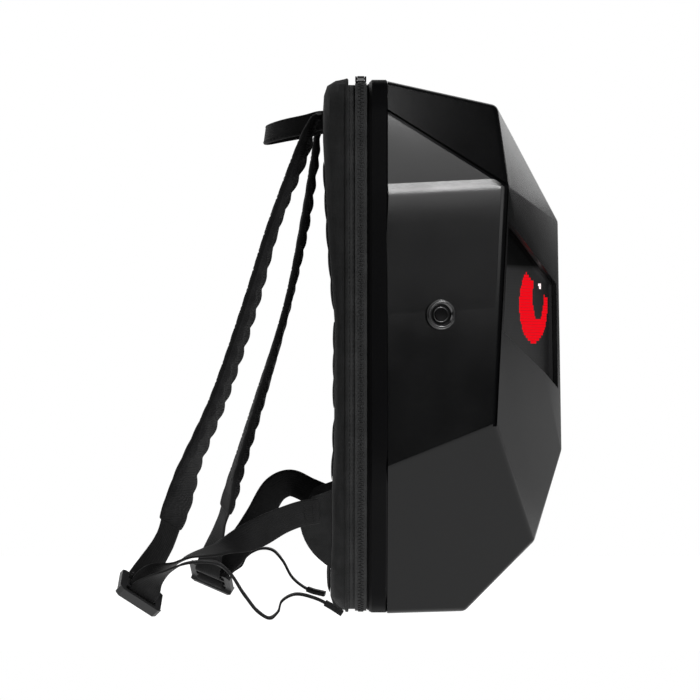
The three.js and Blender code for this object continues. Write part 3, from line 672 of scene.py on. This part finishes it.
def turn_round_bar(name):
    return buckle_rows(name, [
        (LOAD_SLOT - 4, 8),
        (LOAD_SLOT, 2.5),
        (LOAD_SLOT + 0.2, -2),
        ((LOAD_SLOT + TAIL_SLOT) / 2, -FOLD_CLEAR - 1.2),
        (TAIL_SLOT - 0.2, -2),
        (TAIL_SLOT, 2.5),
        (TAIL_SLOT - 0.5, 9),
    ])


def strap_ribbon(name):
    (x, y, z), across, wide, full = STRAP_ROUTES[name][0]
    rows = [((x + ROOT_SEWN_IN, y, z), across, wide, full)] + STRAP_ROUTES[name]
    return Ribbon([(at, across, STRAP_WIDTH * wide, STRAP_THICK * full) for at, across, wide, full in rows])


def tab_ribbon(name):
    strap = strap_ribbon(name)
    end = strap.at[-1]
    ahead = unit(end - catmull(strap.at, 1 - SHORT_STEP))
    across = STRAP_ROUTES[name][-1][1]
    start = [(end + ahead * reach, across) for reach in (-TAB_SEWN_IN, TAB_STRAIGHT)]
    return Ribbon(webbing_rows(start + fold_round_top_bar(name)))


def lower_ribbon(name):
    rows = webbing_rows(LOWER_ROUTES[name] + turn_round_bar(name) + TAIL_ROUTES[name])
    rows[-1] = (rows[-1][0], rows[-1][1], WEBBING_WIDTH, FOLDED_END_THICK)
    return Ribbon(rows)


def handle_ribbon():
    places = [(x, -y, z) for x, y, z in HANDLE_ROUTE] + HANDLE_ROUTE[::-1]
    return Ribbon([(at, HANDLE_ACROSS, HANDLE_WIDTH, HANDLE_THICK) for at in places])


def tail_fold_ribbon(lower):
    places, length = lower.even(FOLD_LOOKUP)
    lengths = np.linspace(0, length, FOLD_LOOKUP + 1)
    rows = []
    for t in np.interp(length - np.array(FOLD_RUN), lengths, places):
        at, side, _, width, _ = lower.frame(t)
        rows.append((at, side, width + FOLD_WIDER, FOLD_THICK))
    return Ribbon(rows)


# Stitches: short rounded threads along a line, a little above the cloth
STITCH_SIDES = 6
# Rings of one stitch: share of its length, height in radii and share of its radius
STITCH_RINGS = [(0, -0.3, 0.5), (0.2, 0.3, 1), (0.8, 0.3, 1), (1, -0.3, 0.5)]


def at_run(values, run, distance):
    return np.array([np.interp(distance, run, values[:, k]) for k in range(3)])


def stitch_mesh(name, lines, length=3.0, gap=1.2, radius=0.35):
    points, faces = [], []
    for line in lines:
        path = np.array([place for place, _ in line], float)
        normals = np.array([normal for _, normal in line], float)
        run = run_of(path)
        for start in np.arange(gap, run[-1] - length, length + gap):
            places = [at_run(path, run, start + share * length) for share, _, _ in STITCH_RINGS]
            normal = unit(at_run(normals, run, start))
            ahead = unit(places[-1] - places[0])
            side = np.cross(ahead, normal)
            base = len(points)
            for place, (_, lift, size) in zip(places, STITCH_RINGS):
                for k in range(STITCH_SIDES):
                    angle = 2 * math.pi * k / STITCH_SIDES
                    offset = (side * math.cos(angle) + normal * math.sin(angle)) * radius * size
                    points.append((place + normal * lift * radius + offset) * MM)
            faces += tube_faces(len(STITCH_RINGS), STITCH_SIDES, base)
    return mesh_from(name, points, faces)


def line_along(ribbon, start, end, u, v, steps):
    """Places and outward directions along a ribbon, from share start to share end."""
    frames = [ribbon.frame(t) for t in np.linspace(start, end, steps)]
    return [(on_frame(here, u, v), here[2] * v) for here in frames]


def line_across(ribbon, t, reach, v, steps):
    here = ribbon.frame(t)
    return [(on_frame(here, u, v), here[2] * v) for u in np.linspace(-reach, reach, steps)]


def add_stitches(name, lines, **sizes):
    return add_piece(name, stitch_mesh(name, lines, **sizes), THREAD, "webbing")


# Webbing: handle, strap tabs and lower webbing
SHORT_WEBBING_STEPS = 90
LONG_WEBBING_STEPS = 260
FOLD_STEPS = 12
HANDLE_SEAM = {"start": 0.02, "end": 0.98, "steps": 120}
HANDLE_SEAM_AT = 0.8
# Bars of stitches that hold the lower webbing on the wing
BAR_PLACES = (0.012, 0.03)
BAR_REACH = 0.85
BAR_STEPS = 20


def add_webbing(name, ribbon, steps):
    return add_piece(name, ribbon_mesh(name, ribbon, steps, flat_section()), WEBBING, "webbing")


def add_handle():
    handle = handle_ribbon()
    piece = add_webbing("grab_handle_webbing", handle, SHORT_WEBBING_STEPS)
    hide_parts("grab_handle")
    seams = []
    for u in (-HANDLE_SEAM_AT, HANDLE_SEAM_AT):
        seams += [line_along(handle, u=u, v=v, **HANDLE_SEAM) for v in (-1, 1)]
    add_stitches("grab_handle_stitches", seams)


def add_side_webbing(name):
    piece = add_webbing(name + "_tab_webbing", tab_ribbon(name), SHORT_WEBBING_STEPS)
    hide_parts(name + "_strap_tab")
    lower = lower_ribbon(name)
    piece = add_webbing(name + "_adjuster_webbing", lower, LONG_WEBBING_STEPS)
    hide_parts(name + "_lower_webbing")
    add_webbing(name + "_tail_fold", tail_fold_ribbon(lower), FOLD_STEPS)
    bars = [line_across(lower, t, BAR_REACH, v, BAR_STEPS) for t in BAR_PLACES for v in (-1, 1)]
    add_stitches(name + "_webbing_stitches", bars, length=2.2, gap=0.6)


add_handle()
for name in SIDES:
    add_side_webbing(name)


# Padded cloth: blown up a little by simulated pressure and held along its sewn lines
CLOTH_SETTINGS = {
    "quality": 5,
    "mass": 0.2,
    "tension_stiffness": 12,
    "compression_stiffness": 12,
    "shear_stiffness": 8,
    "bending_stiffness": 0.3,
    "use_pressure": True,
    "vertex_group_mass": "sewn",
}
# Pressure, frames of simulation, and the furthest in metres that a point may move
STRAP_AIR = {"pressure": 6, "frames": 18, "cap": 0.0035}
PAD_AIR = {"pressure": 5, "frames": 16, "cap": 0.0013}
NO_MOVE = 1e-9


def inflate(piece, pinned, pressure, frames, cap):
    mesh = piece.data
    before = np.empty(3 * len(mesh.vertices))
    mesh.vertices.foreach_get("co", before)
    group = piece.vertex_groups.new(name="sewn")
    group.add([int(index) for index in pinned], 1.0, "REPLACE")
    cloth = piece.modifiers.new("cloth", "CLOTH")
    for setting, value in CLOTH_SETTINGS.items():
        setattr(cloth.settings, setting, value)
    cloth.settings.uniform_pressure_force = pressure
    cloth.settings.effector_weights.gravity = 0
    cloth.point_cache.frame_start = 1
    cloth.point_cache.frame_end = frames
    scene = bpy.context.scene
    for number in range(1, frames + 1):
        scene.frame_set(number)
    shaped = piece.evaluated_get(bpy.context.evaluated_depsgraph_get()).to_mesh()
    after = np.empty_like(before)
    shaped.vertices.foreach_get("co", after)
    piece.evaluated_get(bpy.context.evaluated_depsgraph_get()).to_mesh_clear()
    piece.modifiers.remove(cloth)
    scene.frame_set(1)
    move = (after - before).reshape(-1, 3)
    size = np.linalg.norm(move, axis=1, keepdims=True)
    move = move * np.minimum(1, cap / np.maximum(size, NO_MOVE))
    mesh.vertices.foreach_set("co", (before.reshape(-1, 3) + move).ravel())
    mesh.update()


def soften(piece):
    smooth = piece.modifiers.new("smooth", "SUBSURF")
    smooth.levels = 1
    smooth.render_levels = 1


# Straps: sewn across the inner face at even steps, so that the padding swells between the lines
STRAP_STEPS = 176
STRAP_COLUMNS = 14
QUILT_EVERY = 8
INNER_PINCH = 0.42
OUTER_PINCH = 0.12
# Section: reach of its two faces, how far they fall towards the edges, and height of the edge seam
STRAP_FACE = 0.96
STRAP_FALL = 0.2
STRAP_SEAM_V = -0.1
PINNED_EDGE = 0.95
PINNED_ENDS = 3
STRAP_STITCHES = {"start": 0.12, "end": 0.93, "v": -0.88, "steps": 200}
STRAP_STITCHES_AT = 0.72


def swell(step, pinch):
    return 1 - pinch * (1 - math.sin(math.pi * (step % QUILT_EVERY) / QUILT_EVERY))


def strap_section():
    columns = [-STRAP_FACE + 2 * STRAP_FACE * k / STRAP_COLUMNS for k in range(STRAP_COLUMNS + 1)]
    inner = [(u, 1 - STRAP_FALL * u ** 4) for u in columns]
    outer = [(-u, -v) for u, v in inner]
    return [(-1, STRAP_SEAM_V)] + inner + [(1, STRAP_SEAM_V)] + outer


def quilt_strap(mesh, strap, section):
    places, _ = strap.even(STRAP_STEPS)
    for step, t in enumerate(places):
        here = strap.frame(t)
        for k, (u, v) in enumerate(section):
            pinch = INNER_PINCH if v > 0 else OUTER_PINCH
            place = on_frame(here, u, v * swell(step, pinch)) * MM
            mesh.vertices[step * len(section) + k].co = place


def strap_pins(section):
    """Points that stay in place: outer face, edges, both ends and the sewn lines across."""
    pinned = []
    for step in range(STRAP_STEPS + 1):
        at_end = step < PINNED_ENDS or step > STRAP_STEPS - PINNED_ENDS
        sewn_across = step % QUILT_EVERY == 0
        for k, (u, v) in enumerate(section):
            if v <= 0 or abs(u) > PINNED_EDGE or sewn_across or at_end:
                pinned.append(step * len(section) + k)
    return pinned


def add_strap(name):
    strap = strap_ribbon(name)
    section = strap_section()
    mesh = ribbon_mesh(name + "_strap_padding", strap, STRAP_STEPS, section)
    quilt_strap(mesh, strap, section)
    piece = add_piece(name + "_strap_padding", mesh, MESH, "pad_mesh")
    mesh.materials.append(COVER)
    for face in mesh.polygons:
        if sum(section[v % len(section)][1] for v in face.vertices) < 0:
            face.material_index = 1
    inflate(piece, strap_pins(section), **STRAP_AIR)
    soften(piece)
    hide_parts(name + "_shoulder_strap")
    edges = [line_along(strap, u=u, **STRAP_STITCHES) for u in (-STRAP_STITCHES_AT, STRAP_STITCHES_AT)]
    add_stitches(name + "_strap_stitches", edges, radius=0.25)


for name in SIDES:
    add_strap(name)


# Outline of the rim: corner and radius of its rounding, one half from the top down
RIM_CORNERS = [(135, 459, 20), (150, 432, 30), (158, 363, 60), (158, 129, 70), (79, 0, 40)]
FILLET_STEPS = 3
# A rounding takes at most this share of the sides that it joins
FILLET_SHARE = 0.45
SAME_CORNER = 1e-6
PIPING_PITCH = 4
PIPING_SIDES = 8
PIPING_ABOVE_FLOOR = 0.2


def outline_points():
    corners = RIM_CORNERS + [(-y, z, radius) for y, z, radius in RIM_CORNERS[::-1]]
    points = []
    for at, (y, z, radius) in enumerate(corners):
        here = np.array((y, z), float)
        before = np.array(corners[at - 1][:2], float) - here
        after = np.array(corners[(at + 1) % len(corners)][:2], float) - here
        turn = math.pi - math.acos(np.dot(unit(before), unit(after)))
        shorter = min(np.linalg.norm(before), np.linalg.norm(after))
        reach = min(radius * math.tan(turn / 2), FILLET_SHARE * shorter)
        start, end = here + unit(before) * reach, here + unit(after) * reach
        for step in range(FILLET_STEPS + 1):
            t = step / FILLET_STEPS
            points.append((1 - t) ** 2 * start + 2 * t * (1 - t) * here + t * t * end)
    return np.array(points)


def outline_run(grow, pitch):
    """Places at even steps along the outline, with the direction ahead and outwards, as (y, z) pairs."""
    middle = HEIGHT / 2
    bare = outline_points()
    ring = np.column_stack((bare[:, 0] * (1 + grow / HALF_WIDTH),
                            np.maximum(middle + (bare[:, 1] - middle) * (1 + grow / middle), 0)))
    ring = np.vstack((ring, ring[:1]))
    run = run_of(ring)
    steps = np.diff(run)
    count = int(run[-1] / pitch)
    for s in np.arange(count) * run[-1] / count:
        at = min(np.searchsorted(run, s, side="right") - 1, len(steps) - 1)
        while steps[at] < SAME_CORNER:
            at += 1
        ahead = (ring[at + 1] - ring[at]) / steps[at]
        yield ring[at] + ahead * (s - run[at]), ahead, np.array((-ahead[1], ahead[0]))


def tube_on_outline(name, x, grow, radius):
    rows = list(outline_run(grow, PIPING_PITCH))
    points = []
    for place, _, outward in rows:
        for k in range(PIPING_SIDES):
            angle = 2 * math.pi * k / PIPING_SIDES
            y, z = place + outward * radius * math.sin(angle)
            point = np.array((x + radius * math.cos(angle), y, max(z, PIPING_ABOVE_FLOOR)))
            points.append(point * MM)
    return mesh_from(name, points, tube_faces(len(rows), PIPING_SIDES, closed=True))


# Zip: two rows of teeth that mesh, on the tape, with a gap under the sliders
TOOTH_PITCH = 1.9
TOOTH_REACH = 3.4
TOOTH_WIDE = 1.2
TOOTH_SET = 1.0
# Foot and top of a tooth: height and share of its size
TOOTH_LEVELS = [(-0.2, 1), (0.9, 0.72)]
TOOTH_CORNERS = [(-1, -1), (1, -1), (1, 1), (-1, 1)]
TEETH_ABOVE_FLOOR = 0.3
SLIDERS_REACH = 12.5
ZIP_MEET_Y = -90


def add_zip_teeth():
    points, faces = [], []
    for number, (place, ahead, outward) in enumerate(outline_run(ZIP_FACE, TOOTH_PITCH)):
        if abs(place[0] - ZIP_MEET_Y) < SLIDERS_REACH and place[1] > HEIGHT / 2:
            continue
        base = len(points)
        middle_x = ZIP_X + (TOOTH_SET if number % 2 else -TOOTH_SET)
        for high, share in TOOTH_LEVELS:
            for dx, dy in TOOTH_CORNERS:
                x = middle_x + dx * share * TOOTH_REACH / 2
                y, z = place + outward * high + ahead * dy * share * TOOTH_WIDE / 2
                points.append(np.array((x, y, max(z, TEETH_ABOVE_FLOOR))) * MM)
        *walls, _, top = tube_faces(len(TOOTH_LEVELS), len(TOOTH_CORNERS), base)
        faces += [*walls, top]
    add_piece("zip_teeth", mesh_from("zip_teeth", points, faces), TEETH, "zip_metal", smooth=False)


dress_hard("zipper_tape", GUSSET, "webbing")
add_zip_teeth()

# Seams of the soft body: piping between back and gusset, and rows of stitches
BACK_PIPING = {"x": GUSSET_BACK_X - 0.15, "grow": -1.4, "radius": 1.5}
RIM_PIPING = {"x": RIM_BACK_X - 0.6, "grow": -2.6, "radius": 0.9}
GUSSET_SEAMS_X = (-63.6, -66.6)
SEAM_GROW = -2.7
SEAM_PITCH = 3
SEAM_ABOVE_FLOOR = 4
piping_mesh = tube_on_outline("back_piping", **BACK_PIPING)
lift_top(piping_mesh, PIPING_LIFT)
add_piece("back_piping", piping_mesh, CLOTH, "body_cloth")
add_piece("rim_piping", tube_on_outline("rim_piping", **RIM_PIPING), RIM, "rim_rubber")
seams = []
for x in GUSSET_SEAMS_X:
    seam = []
    for place, _, outward in outline_run(SEAM_GROW, SEAM_PITCH):
        if place[1] > SEAM_ABOVE_FLOOR:
            seam.append(((x, *place), (0, *outward)))
    seams.append(seam)
add_stitches("gusset_stitches", seams, radius=0.22)

# Back pads: height and depth of the back's face behind them, as in the solids
BACK_PROFILE = [
    (1.6, -70), (2.6, -76), (6, -81), (14, -83.5), (34, -83.5), (60, -82), (108, -82), (144, -80),
    (252, -79.5), (288, -82), (324, -85), (372, -87.5), (408, -89.5), (432, -89.5), (444, -88.8),
    (452, -86), (456, -79.5), (457.4, -71),
]
# Pads: name, top, foot, inner and outer side, thickness; the one at the base has no pair
BACK_PADS = [
    ("upper", 392, 264, 9, 112, 1.5),
    ("middle", 254, 178, 9, 112, 1.4),
    ("lumbar", 168, 116, 9, 112, 1.5),
]
BASE_PAD = (52, 16, -52, 52, 3)
PAD_CORNER = 12
PAD_CELL = 3.2
CHANNEL = 25
# Rise of a pad before it is blown up, as a share of its thickness
BORDER_RISE = 0.1
NEXT_RISE = 0.55
FULL_RISE = 0.8
CHANNEL_RISE = 0.3
PAD_OFF_BACK = 0.3
PAD_MIDDLE_OFF_BACK = 0.2


def back_face(z):
    heights, depths = zip(*BACK_PROFILE)
    return float(np.interp(z, heights, depths))


def rounded(dy, dz, half_y, half_z):
    """A place on a pad, pulled in where it lies outside the pad's rounded corner."""
    over_y = max(abs(dy) - half_y + PAD_CORNER, 0)
    over_z = max(abs(dz) - half_z + PAD_CORNER, 0)
    away = math.hypot(over_y, over_z)
    if away <= PAD_CORNER:
        return dy, dz
    pull = PAD_CORNER / away
    y = math.copysign(half_y - PAD_CORNER + over_y * pull, dy)
    return y, math.copysign(half_z - PAD_CORNER + over_z * pull, dz)


def pad_rise(row, column, rows, columns, channel_rows):
    if row in (0, rows) or column in (0, columns):
        return BORDER_RISE
    if row in channel_rows:
        return CHANNEL_RISE
    if row in (1, rows - 1) or column in (1, columns - 1):
        return NEXT_RISE
    return FULL_RISE


def add_pad(name, top, foot, inner, outer, thick):
    columns = int((outer - inner) / PAD_CELL)
    rows = int((top - foot) / PAD_CELL)
    middle_y, middle_z = (inner + outer) / 2, (top + foot) / 2
    half_y, half_z = (outer - inner) / 2, (top - foot) / 2
    channels = max(1, round((top - foot) / CHANNEL))
    channel_rows = {round(rows * k / channels) for k in range(1, channels)}
    points, pinned = [], []
    for row in range(rows + 1):
        for column in range(columns + 1):
            dy = -half_y + 2 * half_y * column / columns
            dz = -half_z + 2 * half_z * row / rows
            dy, dz = rounded(dy, dz, half_y, half_z)
            rise = pad_rise(row, column, rows, columns, channel_rows)
            if rise in (BORDER_RISE, CHANNEL_RISE):
                pinned.append(len(points))
            z = middle_z + dz
            points.append((back_face(z) - PAD_OFF_BACK - rise * thick, middle_y + dy, z))
    wide = columns + 1
    faces = turned(grid_faces(rows + 1, wide))
    border = list(range(columns)) + [r * wide + columns for r in range(rows)]
    border += [rows * wide + c for c in range(columns, 0, -1)] + [r * wide for r in range(rows, 0, -1)]
    start = len(points)
    for index in border:
        _, y, z = points[index]
        points.append((back_face(z) - PAD_OFF_BACK, y, z))
    hub = len(points)
    points.append((back_face(middle_z) - PAD_MIDDLE_OFF_BACK, middle_y, middle_z))
    pinned += range(start, hub + 1)
    count = len(border)
    after = [(k + 1) % count for k in range(count)]
    faces += [(border[k], border[n], start + n, start + k) for k, n in enumerate(after)]
    faces += [(start + k, start + n, hub) for k, n in enumerate(after)]
    mesh = mesh_from(name + "_padding", np.array(points) * MM, faces)
    piece = add_piece(name + "_padding", mesh, MESH, "pad_mesh")
    inflate(piece, pinned, **PAD_AIR)
    soften(piece)
    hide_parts(name)


for name, side in SIDES.items():
    for pad, top, foot, inner, outer, thick in BACK_PADS:
        low_y, high_y = sorted((side * inner, side * outer))
        add_pad(f"back_pad_{pad}_{name}", top, foot, low_y, high_y, thick)
add_pad("back_pad_base", *BASE_PAD)

# Raised rings on the stud, each as radius and height along the stud's axis
STUD_FACE = np.array((11.4, -148.3, 259))
STUD_OUT = np.array((0.259, -0.966, 0))
STUD_ALONG = np.array((0.966, 0.259, 0))
STUD_RINGS = [(12.2, 0), (6.2, -1)]
STUD_TUBE = 0.55
RING_STEPS = 64
TUBE_STEPS = 8


def add_stud_rings():
    points, faces = [], []
    for radius, height in STUD_RINGS:
        base = len(points)
        for step in range(RING_STEPS):
            turn = 2 * math.pi * step / RING_STEPS
            spoke = STUD_ALONG * math.cos(turn) + np.array((0, 0, math.sin(turn)))
            for side in range(TUBE_STEPS):
                around = 2 * math.pi * side / TUBE_STEPS
                reach = radius + STUD_TUBE * math.cos(around)
                lift = height + STUD_TUBE * math.sin(around)
                points.append((STUD_FACE + spoke * reach + STUD_OUT * lift) * MM)
        faces += turned(tube_faces(RING_STEPS, TUBE_STEPS, base, closed=True))
    add_piece("left_stud_rings", mesh_from("left_stud_rings", points, faces), STUD, "buckle_plastic")


add_stud_rings()

# Lit eyes: a grid of dots on each screen, an iris under a slanting lid with a dark pupil
SCREEN_TURN = 0.39
SCREEN_DISTANCE = 104
EYE_WINDOW = [(125, 338.5), (8, 287), (8, 195), (126, 244)]
DOT_PITCH = 2.4
DOT_RADIUS = 1.58
DOT_LIFT = 0.3
DOT_SIDES = 4
IRIS = {"y": 45, "z": 268, "radius": 33}
PUPIL = {"y": 34, "z": 276, "wide": 13, "high": 21}
LID_DROP = 15
LID_SLOPE = 0.44
# Glint in the pupil: place from the pupil's middle, and radius
GLINT = {"y": -4, "z": 9, "radius": 3.2}
DOT_MARGIN = 4
DOT_ROWS = np.arange(190, 345, DOT_PITCH)
DOT_COLUMNS = np.arange(-36, 98, DOT_PITCH)


def inside_window(y, z):
    for (y0, z0), (y1, z1) in zip(EYE_WINDOW, EYE_WINDOW[1:] + EYE_WINDOW[:1]):
        away = ((y1 - y0) * (z - z0) - (z1 - z0) * (y - y0)) / math.hypot(y1 - y0, z1 - z0)
        if away < DOT_MARGIN:
            return False
    return True


def dot_kind(y, z):
    corner_y, corner_z = EYE_WINDOW[1]
    lid = corner_z + (y - corner_y) * LID_SLOPE - LID_DROP
    lit = math.hypot(y - IRIS["y"], z - IRIS["z"]) < IRIS["radius"] and z < lid
    dy, dz = y - PUPIL["y"], z - PUPIL["z"]
    pupil = math.hypot(dy / PUPIL["wide"], dz / PUPIL["high"]) < 1
    if pupil and math.hypot(dy - GLINT["y"], dz - GLINT["z"]) < GLINT["radius"]:
        return "white"
    return "red" if lit and not pupil else "dark"


def add_dots(name, side):
    normal = np.array((math.cos(SCREEN_TURN), side * math.sin(SCREEN_TURN), 0))
    along = np.array((-math.sin(SCREEN_TURN), side * math.cos(SCREEN_TURN), 0))
    up = np.array((0, 0, 1.0))
    made = {kind: ([], []) for kind in ("red", "dark", "white")}
    for row in DOT_ROWS:
        for column in DOT_COLUMNS:
            y = SCREEN_DISTANCE * math.sin(SCREEN_TURN) + column * math.cos(SCREEN_TURN)
            if not inside_window(y, row):
                continue
            points, faces = made[dot_kind(y, row)]
            centre = normal * (SCREEN_DISTANCE + DOT_LIFT) + along * column + up * row
            base = len(points)
            for k in range(DOT_SIDES):
                angle = side * 2 * math.pi * (k + 0.5) / DOT_SIDES
                offset = along * math.cos(angle) + up * math.sin(angle)
                points.append((centre + offset * DOT_RADIUS) * MM)
            faces.append(tuple(base + k for k in range(DOT_SIDES)))
    for kind, material in (("red", LED_RED), ("dark", LED_DARK), ("white", LED_WHITE)):
        points, faces = made[kind]
        mesh = mesh_from(f"{name}_eye_dots_{kind}", points, faces)
        add_piece(f"{name}_eye_dots_{kind}", mesh, material, "screen", smooth=False)


for name, side in SIDES.items():
    add_dots(name, side)

# Stage and light
FLOOR_CORNERS = [(-1.6, -0.55, 0), (0.9, -0.55, 0), (0.9, 1.0, 0), (-1.6, 1.0, 0)]
PAPER = new_material("floor_paper", (0.3, 0.3, 0.3), 0.9, Emission_Color=(1, 1, 1, 1), Emission_Strength=1.0)
floor_mesh = mesh_from("floor", FLOOR_CORNERS, [(0, 1, 2, 3)])
floor_mesh.materials.append(PAPER)
floor = bpy.data.objects.new("floor", floor_mesh)
bpy.context.scene.collection.objects.link(floor)
# Lights: name, place, point aimed at, width and height in metres, power in watts
LIGHTS = [
    ("key", (0.66, -1.18, 0.775), (0.02, -0.14, 0.485), (0.7, 0.86), 6.4),
    ("ridge_strip", (0.61, -1.065, 0.86), (0.02, -0.145, 0.365), (0.3, 0.1), 5.8),
    ("forehead_card", (0.53, 0.8, 0.6), (0.08, -0.07, 0.38), (0.35, 0.3), 0.32),
    ("low_card", (0.95, 0.72, 0.1), (0.09, -0.05, 0.12), (1.2, 0.24), 0.44),
    ("rim_kick", (0.40, -0.37, 1.06), (-0.03, -0.14, 0.45), (0.2, 0.2), 0.5),
    ("rear_soft", (-1.5, 1.3, 1.3), (-0.1, 0, 0.25), (1.2, 1.2), 14),
    ("back_fill", (-1.8, -0.6, 1.0), (-0.1, 0, 0.25), (1.2, 1.2), 6),
]


def area_light(name, place, target, size, power):
    data = bpy.data.lights.new(name, "AREA")
    data.shape = "RECTANGLE"
    data.size, data.size_y = size
    data.energy = power
    lamp = bpy.data.objects.new(name, data)
    bpy.context.scene.collection.objects.link(lamp)
    lamp.location = place
    lamp.rotation_euler = (Vector(target) - Vector(place)).to_track_quat("-Z", "Y").to_euler()
    lamp.visible_camera = False


for light in LIGHTS:
    area_light(*light)

# World: white to look at, bright behind the object and dim before it
BRIGHT_WAY = (0.1, 0.93, 0.35)
WORLD_RANGE = {"From Min": 0.8, "From Max": 0.92, "To Min": 0.04, "To Max": 1.0}
world = bpy.data.worlds.new("studio")
bpy.context.scene.world = world
world.use_nodes = True
tree = world.node_tree
direction = tree.nodes.new("ShaderNodeTexCoord")
lean = tree.nodes.new("ShaderNodeVectorMath")
lean.operation = "DOT_PRODUCT"
lean.inputs[1].default_value = BRIGHT_WAY
tree.links.new(direction.outputs["Generated"], lean.inputs[0])
strength = tree.nodes.new("ShaderNodeMapRange")
strength.interpolation_type = "SMOOTHSTEP"
for socket, value in WORLD_RANGE.items():
    strength.inputs[socket].default_value = value
tree.links.new(lean.outputs["Value"], strength.inputs["Value"])
seen = tree.nodes.new("ShaderNodeLightPath")
shown = blend_of(tree, "MAXIMUM", strength.outputs["Result"], seen.outputs["Is Camera Ray"])
background = tree.nodes["Background"]
background.inputs["Color"].default_value = (1, 1, 1, 1)
tree.links.new(shown, background.inputs["Strength"])
bpy.context.scene.view_settings.view_transform = "Standard"
